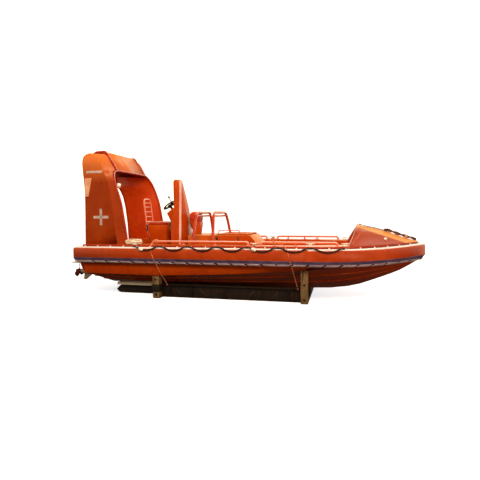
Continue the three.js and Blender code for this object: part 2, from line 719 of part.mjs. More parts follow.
// Handrail on the port edge of the casing.
const handrailPath = [
  [-765, 375, casingTop + gap], [-752, 375, casingTop + 40], [-735, 375, casingTop + 56],
  [-345, 375, casingTop + 56], [-328, 375, casingTop + 40], [-315, 375, casingTop + gap],
];
const casingHandrail = above(joined(
  bar(handrailPath, 10, [0, 1, 0], 8),
  pin([-540, 375, casingTop + gap], [-540, 375, casingTop + 56], 7, 6),
), casingTop + gap);

// Throttle: a box on the console's aft face with a lever and knob.
const throttle = cut(joined(
  box(-1540, -1440, -200, -120, 690, 750),
  pin([-1520, -160, 735], [-1585, -160, 850], 8, 8),
  pin([-1585, -190, 852], [-1585, -130, 852], 15, 10),
), consoleBody.clone().translate(-gap, 0, 0), consoleBody.clone().translate(-gap, 0, gap));

// Bow light on the starboard side of the foredeck.
const bowLight = cut(pin([2330, -380, 60], [2330, -412, 106], 24, 12), foredeck.clone().translate(0, -gap, gap));

// stern drive
const transomX = -2880;
const shieldAft = -2912;
const lugTop = { low: -184, high: -160 };
const lugBottom = { low: -500, high: -476 };
const lugEnd = steerAxisX - 25;
const transomShield = joined(
  prism([[-190, -200], [-130, -140], [130, -140], [190, -200], [190, -480], [120, -560], [-120, -560], [-190, -480]],
    "x", shieldAft, transomX - gap),
  box(lugEnd, shieldAft + 5, -34, 34, lugTop.low, lugTop.high),
  box(lugEnd, shieldAft + 5, -34, 34, lugBottom.low, lugBottom.high),
);
const driveGimbal = joined(
  box(-3010, -2955, -52, 52, -470, -190),
  pin([steerAxisX, 0, -455], [steerAxisX, 0, lugBottom.high + gap], 18, 12),
  pin([steerAxisX, 0, -205], [steerAxisX, 0, lugTop.low - gap], 18, 12),
  box(-3012, -3000, -140, 140, -340, -260),
  box(-3095, -3000, -140, -106, -340, -260),
  box(-3095, -3000, 106, 140, -340, -260),
);
// Columns: height, front and rear of the leg, half width.
const legTable = [
  { z: -610, front: -3340, rear: -3530, half: 30 },
  { z: -500, front: -3300, rear: -3550, half: 40 },
  { z: -430, front: -3220, rear: -3530, half: 66 },
  { z: -340, front: -3140, rear: -3480, half: 90 },
  { z: -260, front: -3135, rear: -3440, half: 90 },
  { z: -200, front: -3165, rear: -3400, half: 76 },
  { z: -168, front: -3205, rear: -3360, half: 50 },
];
function legRing({ z, front, rear, half }) {
  const length = front - rear;
  return [
    [front, 0.35 * half], [front - 0.2 * length, half], [rear + 0.3 * length, half], [rear, 0.25 * half],
    [rear, -0.25 * half], [rear + 0.3 * length, -half], [front - 0.2 * length, -half], [front, -0.35 * half],
  ].map(([x, y]) => new THREE.Vector3(x, y, z));
}
const podTable = [[-3285, 10], [-3320, 38], [-3370, 54], [-3560, 58], [-3615, 52], [-3634, 46]];
const pod = loft(podTable.map(([x, r]) => Array.from({ length: 12 }, (_, k) => {
  const angle = (2 * Math.PI * k) / 12;
  return new THREE.Vector3(x, r * Math.cos(angle), propellerAxis.z + r * Math.sin(angle));
})));
const platePort = [[-3270, 34], [-3330, 92], [-3700, 108], [-3840, 55]];
const cavitationPlate = prism([...platePort, ...platePort.map(([x, y]) => [x, -y]).reverse()], "z", -466, -452);
const skeg = prism([[-3350, -680], [-3570, -680], [-3590, -812], [-3530, -818]], "y", -6, 6);
const driveLeg = joined(
  loft(legTable.map(legRing)),
  pod,
  pin([-3628, 0, propellerAxis.z], [-3640, 0, propellerAxis.z], 16, 10),
  cavitationPlate,
  skeg,
  box(-3170, tiltAxis.x, -70, 70, -332, -268),
  pin([tiltAxis.x, -100, tiltAxis.z], [tiltAxis.x, 100, tiltAxis.z], 32, 14),
  pin([tiltAxis.x, -(106 - gap), tiltAxis.z], [tiltAxis.x, 106 - gap, tiltAxis.z], 14, 12),
);

// Propeller: a hub with three twisted blades. Columns: radius, chord, thickness.
const bladeTable = [
  { r: 36, chord: 66, thick: 14 },
  { r: 90, chord: 104, thick: 9 },
  { r: 132, chord: 96, thick: 6 },
  { r: 158, chord: 44, thick: 4 },
];
const pitch = 380;
const propellerX = -3690;
function blade(turn) {
  const radial = new THREE.Vector3(0, Math.cos(turn), Math.sin(turn));
  const tangent = new THREE.Vector3(0, -Math.sin(turn), Math.cos(turn));
  const axial = new THREE.Vector3(1, 0, 0);
  const centre = new THREE.Vector3(propellerX, 0, propellerAxis.z);
  return loft(bladeTable.map(({ r, chord, thick }) => {
    const twist = Math.atan(pitch / (2 * Math.PI * r));
    const along = tangent.clone().multiplyScalar(Math.cos(twist)).addScaledVector(axial, Math.sin(twist));
    const across = along.clone().cross(radial);
    const middle = centre.clone().addScaledVector(radial, r);
    return [[-0.5, 0], [-0.15, 0.5], [0.25, 0.5], [0.5, 0], [0.25, -0.5], [-0.15, -0.5]].map(([c, t]) =>
      middle.clone().addScaledVector(along, c * chord).addScaledVector(across, t * thick));
  }));
}
const hubProfile = [[0, -62], [40, -62], [44, -20], [44, 30], [38, 49.7], [0, 49.7]];
const hub = new THREE.LatheGeometry(hubProfile.map(([r, h]) => new THREE.Vector2(r, h)), 14)
  .rotateZ(-Math.PI / 2)
  .translate(propellerX, 0, propellerAxis.z);
const bladeTurns = [0, 1, 2].map((n) => Math.PI / 2 + (2 * Math.PI * n) / 3);
const propeller = joined(hub, ...bladeTurns.map(blade));

// cradle
const floorZ = -gunwaleHeight;
const keelBottom = -825;
const postRows = [
  { name: "aft", x0: -1555, x1: -1430, y0: 870, y1: 1000, top: -545 },
  { name: "forward", x0: 1000, x1: 1115, y0: 850, y1: 965, top: -388 },
];
const crossRows = postRows.map((p) => box(p.x0, p.x1, -p.y0 + gap, p.y0 - gap, floorZ, floorZ + 58));
function sideBeam(sign) {
  const flangeHalf = 50;
  const y = 800 * sign;
  const [low, high] = [floorZ, -705];
  return prism([
    [y - flangeHalf, low], [y + flangeHalf, low], [y + flangeHalf, low + 14], [y + 6, low + 14], [y + 6, high - 14],
    [y + flangeHalf, high - 14], [y + flangeHalf, high], [y - flangeHalf, high], [y - flangeHalf, high - 14],
    [y - 6, high - 14], [y - 6, low + 14], [y - flangeHalf, low + 14],
  ], "x", -1440, 1010);
}
const sternBeamTop = floorZ + 162;
const sternBeamSide = [
  [-1540, floorZ], [-2370, floorZ], [-2430, floorZ + 18], [-2472, floorZ + 66], [-2418, floorZ + 118],
  [-2360, sternBeamTop], [-1540, sternBeamTop],
];
const sternBeams = both.map(({ sign }) => prism(sternBeamSide, "y", sign * 560 - 55, sign * 560 + 55));
const sternCross = box(-2360, -2270, -615, 615, floorZ, floorZ + 58);
const keelBeam = box(-2360, 1110, -60, 60, floorZ, keelBottom - 46);
const cradleFrame = cut(joined(...crossRows, sideBeam(-1), sideBeam(1), ...sternBeams, sternCross, keelBeam),
  hullBody.clone().translate(0, 0, -gap));
const keelPlank = cut(box(-2360, 1090, -55, 55, keelBottom - 46 + gap, keelBottom + 20), hullBody.clone().translate(0, 0, -gap));
function post(row, sign) {
  const [y0, y1] = sign < 0 ? [-row.y1, -row.y0] : [row.y0, row.y1];
  return cut(box(row.x0, row.x1, y0, y1, floorZ, row.top), hullBody.clone().translate(0, 0, -gap));
}
const sternPlank = box(-2405, -1655, -700, -470, sternBeamTop + gap, floorZ + 211);

// group and nodes
const lifeboat = new THREE.Group();
const boat = new THREE.Group();
boat.position.set(originShift, 0, gunwaleHeight);
lifeboat.add(boat);

function add(name, geometry, paintName, group = boat) {
  const mesh = new THREE.Mesh(onlyPositions(geometry), paint(paintName));
  mesh.name = name;
  group.add(mesh);
  return mesh;
}

add("hull", hull, "orangeGrp");
add("cockpit_liner", deckLiner, "orangeGrp");
add("foredeck", foredeck, "orangeGrp");

for (const { side, sign } of both) {
  const facing = (geometry) => (sign < 0 ? geometry : mirrored(geometry));
  const path = sidePath.map(([x, y, z]) => [x, -y, z]);
  add(`fender_${side}`, facing(sweep(path, fenderSection)), "orangeFoam");
  add(`fender_band_${side}`, facing(sweep(path, bandSection)), "slateBand");
  add(`tower_leg_${side}`, facing(towerLeg), "orangeGrp");
  for (const rail of sideRails) add(`${rail.name}_${side}`, facing(sideRail(rail.from, rail.to, rail.posts)), "orangeTube");
  add(`lifeline_${side}`, facing(lifeline()), "ropeBrown");
}
add("fender_bow", sweep([...bowPath].reverse(), fenderSection), "orangeFoam");
add("fender_band_bow", sweep([...bowPath].reverse(), bandSection), "slateBand");
add("tower_roof", towerRoof, "orangeGrp");
add("console", consoleBody, "orangeGrp");
add("console_grab_tube", grabTube, "orangeTube");
add("steering_column", column, "blackRubber");
add("steering_wheel", steeringWheel, "blackRubber");
add("engine_casing", engineCasing, "orangeGrp");
add("engine_lid", engineLid, "orangeGrp");
add("helm_seat_base", helmSeatBase, "orangeGrp");
add("helm_seat_cushion", helmCushion, "cushionRed");
add("helm_backrest", seatBackrest, "orangeTube");
add("forward_seat_base", forwardSeatBase, "orangeGrp");
add("forward_seat_cushion", forwardCushion, "cushionRed");
for (const hoop of hoops) add(hoop.name, grabHoop(hoop), "orangeTube");
add("casing_handrail", casingHandrail, "orangeTube");
add("throttle", throttle, "blackRubber");
add("bow_light", bowLight, "whitePlastic");
add("transom_shield", transomShield, "driveGrey");
add("drive_gimbal", driveGimbal, "driveGrey");
add("drive_leg", driveLeg, "driveGrey");
add("propeller", propeller, "propellerRed");
add("cradle_frame", cradleFrame, "cradleSteel");
add("cradle_keel_plank", keelPlank, "timber");
for (const { side, sign } of both) {
  const facing = (geometry) => (sign < 0 ? geometry : mirrored(geometry));
  for (const row of postRows) add(`cradle_post_${row.name}_${side}`, post(row, sign), "cradlePost");
  add(`cradle_stern_plank_${side}`, facing(sternPlank), "timber");
}
add("engine_block", box(-900, 0, -230, 230, soleTop + gap, 40), "engineGrey");

export default lifeboat;
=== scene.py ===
import json
import math

import bpy
from mathutils import Matrix, Vector


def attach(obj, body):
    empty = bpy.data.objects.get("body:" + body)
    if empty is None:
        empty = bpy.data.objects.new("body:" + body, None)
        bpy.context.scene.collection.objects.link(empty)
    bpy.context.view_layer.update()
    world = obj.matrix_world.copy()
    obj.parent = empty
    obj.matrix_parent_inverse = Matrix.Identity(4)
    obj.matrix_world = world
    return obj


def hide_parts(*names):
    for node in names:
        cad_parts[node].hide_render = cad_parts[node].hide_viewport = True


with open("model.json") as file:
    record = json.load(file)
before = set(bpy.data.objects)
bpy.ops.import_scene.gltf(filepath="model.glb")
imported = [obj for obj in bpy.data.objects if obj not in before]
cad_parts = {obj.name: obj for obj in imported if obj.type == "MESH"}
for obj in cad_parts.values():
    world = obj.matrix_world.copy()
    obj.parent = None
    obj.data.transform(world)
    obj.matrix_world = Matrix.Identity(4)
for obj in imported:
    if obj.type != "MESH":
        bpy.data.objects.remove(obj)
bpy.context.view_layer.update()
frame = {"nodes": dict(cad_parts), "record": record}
print("frame loaded:", len(frame["nodes"]), "nodes")

# X forward, Y to port, Z up, in metres. The gunwale top is at deckZ and the hull's middle at midX.
deckZ = 0.93
midX = 0.42
sides = (("starboard", -1), ("port", 1))


def atDeck(x, y, z):
    return Vector((x + midX, y, z + deckZ))


# camera, at the photograph's viewing angle
photoView = {
    "place": (2.0386, -7.5691, 1.4738),
    "yawLeft": 0.23931,
    "pitchDown": 0.0658,
    "roll": -0.00757,
    "lens": 31.068,
    "sensor": 36.0,
    "clipEnd": 200,
}


def makeCamera(view):
    bpy.ops.object.select_all(action="DESELECT")
    bpy.ops.object.camera_add(location=view["place"])
    camera = bpy.context.active_object
    camera.name = "photo_camera"
    camera.data.lens = view["lens"]
    camera.data.sensor_width = view["sensor"]
    camera.data.clip_end = view["clipEnd"]
    turn = Matrix.Rotation(view["yawLeft"], 3, "Z") @ Matrix.Rotation(math.pi / 2 - view["pitchDown"], 3, "X")
    camera.rotation_euler = (turn @ Matrix.Rotation(view["roll"], 3, "Z")).to_euler()
    bpy.context.scene.camera = camera
    return camera


makeCamera(photoView)
bpy.context.scene.view_settings.view_transform = "Standard"
print("camera placed")


# floor, sky and lights
studio = {
    "floorSize": 160,
    "floorColour": "#EEF2F8",
    "floorPatch": "#F6F4F1",
    "floorGlow": 0.8,
    # turn: where the wall's light goes from behind to ahead. top: where the wall ends.
    "wall": {"ahead": 1.7, "behind": 0.25, "colour": "#FFEACE", "turn": (-0.5, 0.5), "top": (0.47, 0.62)},
    "ceiling": 0.17,
    "ground": {"edge": (-0.2, -0.03), "least": 0.02},
    "sun": {"place": (3, 3, 6), "from": (0.45, 0.4, 0.86), "strength": 0.8, "angle": 26, "colour": "#FFF2E4"},
    "lights": [
        {"name": "front_window", "place": (1.2, -7.4, 6.4), "aim": (0.3, 0, 0.8), "size": (8, 2.5),
         "power": 760, "colour": "#FFDDB4", "shine": False},
        {"name": "front_glint", "place": (1.2, -7.4, 6.4), "aim": (0.3, 0, 0.8), "size": (8, 1.2),
         "power": 110, "colour": "#FFF0E0", "shine": True},
        {"name": "floor_bounce", "place": (4.1, -3.6, 0.25), "aim": (1.9, 0, 0.75), "size": (1.6, 1.0),
         "power": 30, "colour": "#FFB98C", "shine": True},
        {"name": "overhead", "place": (0.6, 1.2, 5.2), "aim": (0.2, 0, 0.8), "size": (7, 0.5),
         "power": 45, "colour": "#FFF4E6", "shine": True},
    ],
}


def linear(hexColour):
    parts = [int(hexColour[i:i + 2], 16) / 255 for i in (1, 3, 5)]
    return tuple(c / 12.92 if c <= 0.04045 else ((c + 0.055) / 1.055) ** 2.4 for c in parts) + (1.0,)


def addNode(tree, kind, settings=None, links=None):
    node = tree.nodes.new(kind)
    for key, value in (settings or {}).items():
        if key == "stops":
            while len(node.color_ramp.elements) < len(value):
                node.color_ramp.elements.new(0.5)
            for element, (place, colour) in zip(node.color_ramp.elements, value):
                element.position = place
                element.color = linear(colour)
        elif isinstance(key, int) or key in node.inputs:
            node.inputs[key].default_value = value
        else:
            setattr(node, key, value)
    for key, source in (links or {}).items():
        tree.links.new(source, node.inputs[key])
    return node


def newMaterial(name):
    material = bpy.data.materials.new(name)
    material.use_nodes = True
    material.node_tree.nodes.clear()
    return material, material.node_tree


def selectOnly(*items):
    if bpy.context.object and bpy.context.object.mode != "OBJECT":
        bpy.ops.object.mode_set(mode="OBJECT")
    bpy.ops.object.select_all(action="DESELECT")
    for item in items:
        item.select_set(True)
    bpy.context.view_layer.objects.active = items[0]


def settle(item):
    selectOnly(item)
    for modifier in list(item.modifiers):
        bpy.ops.object.modifier_apply(modifier=modifier.name)
    bpy.ops.object.transform_apply(location=True, rotation=True, scale=True)
    return item


# A sheet of pale studio paper: flat, with a faint unevenness.
def paperMaterial(look):
    material, tree = newMaterial("pale studio paper")
    place = addNode(tree, "ShaderNodeTexCoord")
    cloud = addNode(tree, "ShaderNodeTexNoise", {"Scale": 0.35, "Detail": 2},
                    {"Vector": place.outputs["Object"]})
    tone = addNode(tree, "ShaderNodeValToRGB",
                   {"stops": [(0.3, look["floorColour"]), (0.7, look["floorPatch"])]},
                   {"Fac": cloud.outputs["Fac"]})
    skin = addNode(tree, "ShaderNodeBsdfPrincipled",
                   {"Roughness": 0.9, "Specular IOR Level": 0.2, "Emission Strength": look["floorGlow"],
                    "Emission Color": linear(look["floorColour"])}, {"Base Color": tone.outputs["Color"]})
    addNode(tree, "ShaderNodeOutputMaterial", None, {"Surface": skin.outputs["BSDF"]})
    return material


def makeStudio(look):
    bpy.ops.mesh.primitive_plane_add(size=look["floorSize"], location=(0, 0, 0))
    floor = bpy.context.active_object
    floor.name = "studio_floor"
    floor.data.materials.append(paperMaterial(look))
    # The paper throws no light back, so that the hull's bottom stays dark.
    floor.visible_diffuse = False
    floor.visible_glossy = False
    world = bpy.data.worlds.new("soft sky")
    bpy.context.scene.world = world
    world.use_nodes = True
    sky = world.node_tree
    way = addNode(sky, "ShaderNodeTexCoord").outputs["Generated"]
    parts = addNode(sky, "ShaderNodeSeparateXYZ", None, {"Vector": way})
    wall = look["wall"]
    around = addNode(sky, "ShaderNodeMapRange",
                     {"From Min": wall["turn"][0], "From Max": wall["turn"][1],
                      "To Min": wall["behind"], "To Max": wall["ahead"]}, {"Value": parts.outputs["Y"]})
    height = addNode(sky, "ShaderNodeMapRange",
                     {"From Min": wall["top"][0], "From Max": wall["top"][1], "To Min": 1.0, "To Max": 0.0},
                     {"Value": parts.outputs["Z"]})
    lit = addNode(sky, "ShaderNodeMath", {"operation": "MULTIPLY"},
                  {0: around.outputs["Result"], 1: height.outputs["Result"]})
    whole = addNode(sky, "ShaderNodeMath", {"operation": "ADD", 1: look["ceiling"]},
                    {0: lit.outputs["Value"]})
    ground = addNode(sky, "ShaderNodeMapRange",
                     {"From Min": look["ground"]["edge"][0], "From Max": look["ground"]["edge"][1],
                      "To Min": look["ground"]["least"], "To Max": 1.0}, {"Value": parts.outputs["Z"]})
    strength = addNode(sky, "ShaderNodeMath", {"operation": "MULTIPLY"},
                       {0: whole.outputs["Value"], 1: ground.outputs["Result"]})
    sky.links.new(strength.outputs["Value"], sky.nodes["Background"].inputs["Strength"])
    sky.nodes["Background"].inputs["Color"].default_value = linear(wall["colour"])
    bpy.ops.object.light_add(type="SUN", location=look["sun"]["place"])
    sun = bpy.context.active_object
    sun.name = "high_window"
    sun.data.energy = look["sun"]["strength"]
    sun.data.color = linear(look["sun"]["colour"])[:3]
    sun.data.angle = math.radians(look["sun"]["angle"])
    sun.rotation_euler = Vector(look["sun"]["from"]).to_track_quat("Z", "Y").to_euler()
    for lamp in look["lights"]:
        bpy.ops.object.light_add(type="AREA", location=lamp["place"])
        light = bpy.context.active_object
        light.name = lamp["name"]
        light.data.shape = "RECTANGLE"
        light.data.size, light.data.size_y = lamp["size"]
        light.data.energy = lamp["power"]
        light.data.color = linear(lamp["colour"])[:3]
        light.visible_glossy = lamp["shine"]
        aim = Vector(lamp["aim"]) - light.location
        light.rotation_euler = aim.to_track_quat("-Z", "Y").to_euler()


makeStudio(studio)
print("studio lit")


# Finishes. The colour laid on faces that look up is a painted highlight, over these heights of its normal.
# Sizes in millimetres. patch is the width of a cloud of colour, grit that of the finest grain,
# streak the width of a dirt run, and bump the height of the grain. The colour above a level is painted light:
# its levels are where it begins and is full, in metres, the level's slope along X, and the most of it.
finishes = {
    # Polyester gelcoat out of a polished mould: glossy, faintly rippled, chalked by sun, dirt runs down it.
    "hull gelcoat": {
        "colours": ("#AE3A08", "#BE4409", "#CB520E"), "patch": 900, "grit": 22, "streak": 60,
        "dirt": "#5A1D08", "dirtAmount": 0.28, "rough": (0.2, 0.34), "bump": 0.2,
        "set": {"IOR": 1.5, "Specular IOR Level": 0.45, "Coat Weight": 0.1, "Coat Roughness": 0.06},
    },
    # Gelcoat painted pale, almost peach, on small faces that the light falls full on: a painted highlight.
    "sunlit gelcoat": {
        "colours": ("#D8906C", "#E8AE8E", "#F4CDB6"), "patch": 200, "grit": 12, "streak": 40,
        "dirt": "#A85A38", "dirtAmount": 0.25, "rough": (0.25, 0.4), "bump": 0.2,
        "set": {"IOR": 1.5, "Coat Weight": 0.1, "Coat Roughness": 0.08},
    },
    # The same gelcoat on the upper mouldings, with a painted amber highlight on the faces that look up.
    "upper moulding gelcoat": {
        "colours": ("#AE3A06", "#BD4507", "#CC570D"), "patch": 700, "grit": 18, "streak": 45,
        "dirt": "#6B240B", "dirtAmount": 0.2, "paintedHighlight": "#F2A24E", "paintedHighlightOver": (0.88, 0.99, 0.55),
        "rough": (0.2, 0.34), "bump": 0.2,
        "set": {"IOR": 1.38, "Specular IOR Level": 0.3, "Coat Weight": 0.03, "Coat Roughness": 0.06},
    },
    # The engine casing: everything but its upright sides is painted tan as a highlight.
    "casing gelcoat": {
        "colours": ("#B23E0A", "#C24C0E", "#D26018"), "patch": 500, "grit": 18, "streak": 45,
        "dirt": "#6B240B", "dirtAmount": 0.25, "paintedHighlight": "#E9A05A", "paintedHighlightOver": (0.2, 0.6, 0.7),
        "rough": (0.3, 0.42), "bump": 0.2,
        "set": {"IOR": 1.38, "Specular IOR Level": 0.2, "Coat Weight": 0.0},
    },
    # The foredeck's crown looks up at the sky and is painted gold as a highlight above a level, with a crisp
    # line where its side begins.
    "foredeck gelcoat": {
        "colours": ("#98340A", "#A83E0C", "#B84E12"), "patch": 700, "grit": 18, "streak": 45,
        "dirt": "#6B240B", "dirtAmount": 0.2, "paintedLightHigh": "#F7A650", "paintedLightLevels": (1.966, 1.982, -0.33, 0.85),
        "rough": (0.26, 0.38), "bump": 0.2,
        "set": {"IOR": 1.4, "Specular IOR Level": 0.2, "Coat Weight": 0.0},
    },
    # The tower's gelcoat: painted browner as shade, because it looks away from the light, with a painted
    # highlight on its upward faces and painted light high up.
    "tower gelcoat": {
        "colours": ("#8F3007", "#9E3A08", "#AC470E"), "patch": 700, "grit": 18, "streak": 45,
        "dirt": "#5E200A", "dirtAmount": 0.25, "paintedHighlight": "#F79A48", "paintedHighlightOver": (0.45, 0.95, 0.5),
        "paintedLightHigh": "#F59048", "paintedLightLevels": (2.02, 2.50, 0.0, 0.62),
        "rough": (0.24, 0.38), "bump": 0.2,
        "set": {"IOR": 1.4, "Specular IOR Level": 0.25, "Coat Weight": 0.03, "Coat Roughness": 0.06},
    },
    # The tower's port leg, painted brighter red: painted light for the glow that the deck throws back on its
    # inner face.
    "far tower gelcoat": {
        "colours": ("#C23C06", "#D24408", "#DE520D"), "patch": 700, "grit": 18, "streak": 45,
        "dirt": "#7A260A", "dirtAmount": 0.2, "rough": (0.2, 0.34), "bump": 0.2,
        "set": {"IOR": 1.45, "Specular IOR Level": 0.4, "Coat Weight": 0.1, "Coat Roughness": 0.06},
    },
    # Foam fender under a sprayed polyurethane skin: satin, soft ripples, scuffed; its upward-looking top
    # carries a painted highlight, near white.
    "fender skin": {
        "colours": ("#A83609", "#B8410D", "#C44C14"), "patch": 420, "grit": 9, "streak": 90,
        "dirt": "#571A0B", "dirtAmount": 0.3, "paintedHighlight": "#FFFBFF", "paintedHighlightOver": (0.50, 0.70, 0.98),
        "rough": (0.3, 0.46), "bump": 0.45,
        "set": {"IOR": 1.48, "Specular IOR Level": 0.4, "Coat Weight": 0.04, "Coat Roughness": 0.2},
    },
    # Moulded rubber strip: blue-grey bloom over slate, matt.
    "slate rubber": {
        "colours": ("#5A4A70", "#6E5F8A", "#877BA8"), "patch": 160, "grit": 6, "streak": 40,
        "dirt": "#2A1A1C", "dirtAmount": 0.4, "rough": (0.5, 0.7), "bump": 0.4,
        "set": {"IOR": 1.5},
    },
    # The same rubber on the pads, painted paler, almost lilac: a painted highlight for the light their bulged
    # lower halves catch.
    "highlight-painted rubber": {
        "colours": ("#B4A2B0", "#CDBCC8", "#E4D6DE"), "patch": 140, "grit": 6, "streak": 40,
        "dirt": "#4A3436", "dirtAmount": 0.35, "rough": (0.45, 0.62), "bump": 0.4,
        "set": {"IOR": 1.5},
    },
    # Polyester rope, brown with grease and wear.
    "dark rope": {
        "colours": ("#1C1110", "#2C1B18", "#4A302A"), "patch": 50, "grit": 1.6, "streak": 14,
        "dirt": "#0F0807", "dirtAmount": 0.3, "rough": (0.7, 0.9), "bump": 0.35,
        "set": {"IOR": 1.5, "Sheen Weight": 0.15},
    },
    # The painter's rope: brown, oiled, soft.
    "brown rope": {
        "colours": ("#3E1D14", "#5E3022", "#83503A"), "patch": 50, "grit": 1.6, "streak": 14,
        "dirt": "#1E0D08", "dirtAmount": 0.3, "rough": (0.65, 0.85), "bump": 0.35,
        "set": {"IOR": 1.5, "Sheen Weight": 0.2},
    },
    # Edge trim painted dark red as shade for the shaded rims it lines, polished by hands and rope.
    "shade-painted edge trim": {
        "colours": ("#8E1E0C", "#AC2A12", "#C63E20"), "patch": 120, "grit": 3, "streak": 22,
        "dirt": "#2A0905", "dirtAmount": 0.3, "rough": (0.2, 0.32), "bump": 0.1,
        "set": {"IOR": 1.5, "Coat Weight": 0.3, "Coat Roughness": 0.08},
    },
    # Polyester tie-down rope, orange, a little furry.
    "orange rope": {
        "colours": ("#C8683A", "#E38A58", "#F6B48C"), "patch": 40, "grit": 1.4, "streak": 12,
        "dirt": "#7A3415", "dirtAmount": 0.25, "rough": (0.6, 0.8), "bump": 0.3,
        "set": {"IOR": 1.5, "Sheen Weight": 0.25},
    },
    # Manila mooring rope: straw coloured.
    "straw rope": {
        "colours": ("#B48A62", "#D9B68E", "#F2DCBC"), "patch": 40, "grit": 1.4, "streak": 12,
        "dirt": "#7A5236", "dirtAmount": 0.3, "rough": (0.7, 0.9), "bump": 0.35,
        "set": {"IOR": 1.5, "Sheen Weight": 0.2},
    },
    # Newer manila, almost white.
    "bleached rope": {
        "colours": ("#EAD6B8", "#FBEFDC", "#FFFDF8"), "patch": 40, "grit": 1.4, "streak": 12,
        "dirt": "#A07A58", "dirtAmount": 0.3, "rough": (0.7, 0.9), "bump": 0.35,
        "set": {"IOR": 1.5, "Sheen Weight": 0.2},
    },
    # Webbing strap, slate, woven flat.
    "slate webbing": {
        "colours": ("#2C2830", "#3B3640", "#4D4854"), "patch": 60, "grit": 1.8, "streak": 10,
        "dirt": "#1A1414", "dirtAmount": 0.3, "rough": (0.7, 0.88), "bump": 0.3,
        "set": {"IOR": 1.5, "Sheen Weight": 0.2},
    },
    # Dark red-brown, dusty sheet in the joint between fender and deck: painted shade for the groove.
    "painted groove shade": {
        "colours": ("#3A120A", "#4E1A0E", "#6B2A18"), "patch": 90, "grit": 4, "streak": 30,
        "dirt": "#1C0906", "dirtAmount": 0.4, "rough": (0.5, 0.7), "bump": 0.3,
        "set": {"IOR": 1.5},
    },
    # Rope pulled over the fender: sun-rotted red-brown.
    "weathered rope": {
        "colours": ("#8E3418", "#A84322", "#C05A34"), "patch": 40, "grit": 1.4, "streak": 12,
        "dirt": "#5A2412", "dirtAmount": 0.25, "rough": (0.6, 0.8), "bump": 0.3,
        "set": {"IOR": 1.5, "Sheen Weight": 0.2},
    },
    # The hoops' coat is fresher and redder, with a painted pink highlight on its top.
    "red coated tube": {
        "colours": ("#A82812", "#BE3818", "#D25230"), "patch": 240, "grit": 3, "streak": 20,
        "dirt": "#6A2010", "dirtAmount": 0.25, "paintedHighlight": "#FBC0A8", "paintedHighlightOver": (0.55, 0.95, 0.6),
        "rough": (0.24, 0.4), "bump": 0.12,
        "set": {"IOR": 1.5, "Coat Weight": 0.5, "Coat Roughness": 0.1},
    },
    # Dark strip that shows between the band's lengths.
    "shadow rubber": {
        "colours": ("#120B0C", "#1A1012", "#241719"), "patch": 90, "grit": 5, "streak": 30,
        "dirt": "#0B0606", "dirtAmount": 0.4, "rough": (0.7, 0.85), "bump": 0.4,
        "set": {"IOR": 1.5},
    },
    # Steel tube under orange powder coat: glossy, with a painted pale highlight on top.
    "powder coated tube": {
        "colours": ("#D9582F", "#E46A3E", "#EE8458"), "patch": 240, "grit": 3, "streak": 20,
        "dirt": "#8A3317", "dirtAmount": 0.25, "paintedHighlight": "#FFE2DE", "paintedHighlightOver": (0.1, 0.85, 0.75),
        "rough": (0.24, 0.4), "bump": 0.12,
        "set": {"IOR": 1.5, "Coat Weight": 0.4, "Coat Roughness": 0.1},
    },
    # The same coat on the tube by the helm, painted pale pink all over: a painted highlight for the sky it
    # reflects.
    "highlight-painted tube": {
        "colours": ("#E79C8E", "#F3B8AC", "#FAD3CA"), "patch": 200, "grit": 3, "streak": 20,
        "dirt": "#A8553F", "dirtAmount": 0.2, "rough": (0.25, 0.4), "bump": 0.1,
        "set": {"IOR": 1.5, "Coat Weight": 0.3, "Coat Roughness": 0.1},
    },
    # Coated cloth over foam: saturated red, fine leather grain, soft gloss.
    "seat vinyl": {
        "colours": ("#B02A08", "#C8360C", "#D84818"), "patch": 160, "grit": 2.2, "streak": 40,
        "dirt": "#64200E", "dirtAmount": 0.25, "rough": (0.34, 0.48), "bump": 0.35,
        "set": {"IOR": 1.5, "Coat Weight": 0.15, "Coat Roughness": 0.2, "Sheen Weight": 0.1},
    },
    # Welt sewn into the cushion's edge, painted pale: a painted highlight along the cushion's top edge.
    "pale piping": {
        "colours": ("#E2B496", "#F2CDB2", "#FBE2CE"), "patch": 100, "grit": 2, "streak": 20,
        "dirt": "#9A5C40", "dirtAmount": 0.25, "rough": (0.4, 0.55), "bump": 0.1,
        "set": {"IOR": 1.5},
    },
    # Polyurethane grip: black, slightly greasy.
    "black grip rubber": {
        "colours": ("#0E0E0F", "#161617", "#222224"), "patch": 70, "grit": 1.5, "streak": 15,
        "dirt": "#39322C", "dirtAmount": 0.2, "rough": (0.42, 0.6), "bump": 0.1,
        "set": {"IOR": 1.5},
    },
    # Moulded acetal: white, faintly yellowed.
    "white plastic": {
        "colours": ("#E6E4DF", "#F6F5F2", "#FFFFFF"), "patch": 60, "grit": 2, "streak": 12,
        "dirt": "#8F8069", "dirtAmount": 0.25, "rough": (0.3, 0.45), "bump": 0.05,
        "set": {"IOR": 1.48},
    },
    # Die-cast aluminium under marine enamel: grey-beige, satin, salt stained.
    "drive enamel": {
        "colours": ("#77705F", "#8D8677", "#A39C8A"), "patch": 120, "grit": 2.5, "streak": 24,
        "dirt": "#46403A", "dirtAmount": 0.4, "rough": (0.34, 0.5), "bump": 0.15,
        "set": {"IOR": 1.5, "Coat Weight": 0.2, "Coat Roughness": 0.2},
    },
    # Aluminium propeller with dark red antifouling brushed on: matt, patchy.
    "antifouling red": {
        "colours": ("#3A100B", "#541A12", "#6C2A1C"), "patch": 40, "grit": 3, "streak": 18,
        "dirt": "#241512", "dirtAmount": 0.35, "rough": (0.5, 0.7), "bump": 0.3,
        "set": {"IOR": 1.5},
    },
    # Cast iron engine under machinery enamel.
    "engine enamel": {
        "colours": ("#4B5054", "#5D6367", "#6F7579"), "patch": 90, "grit": 3, "streak": 20,
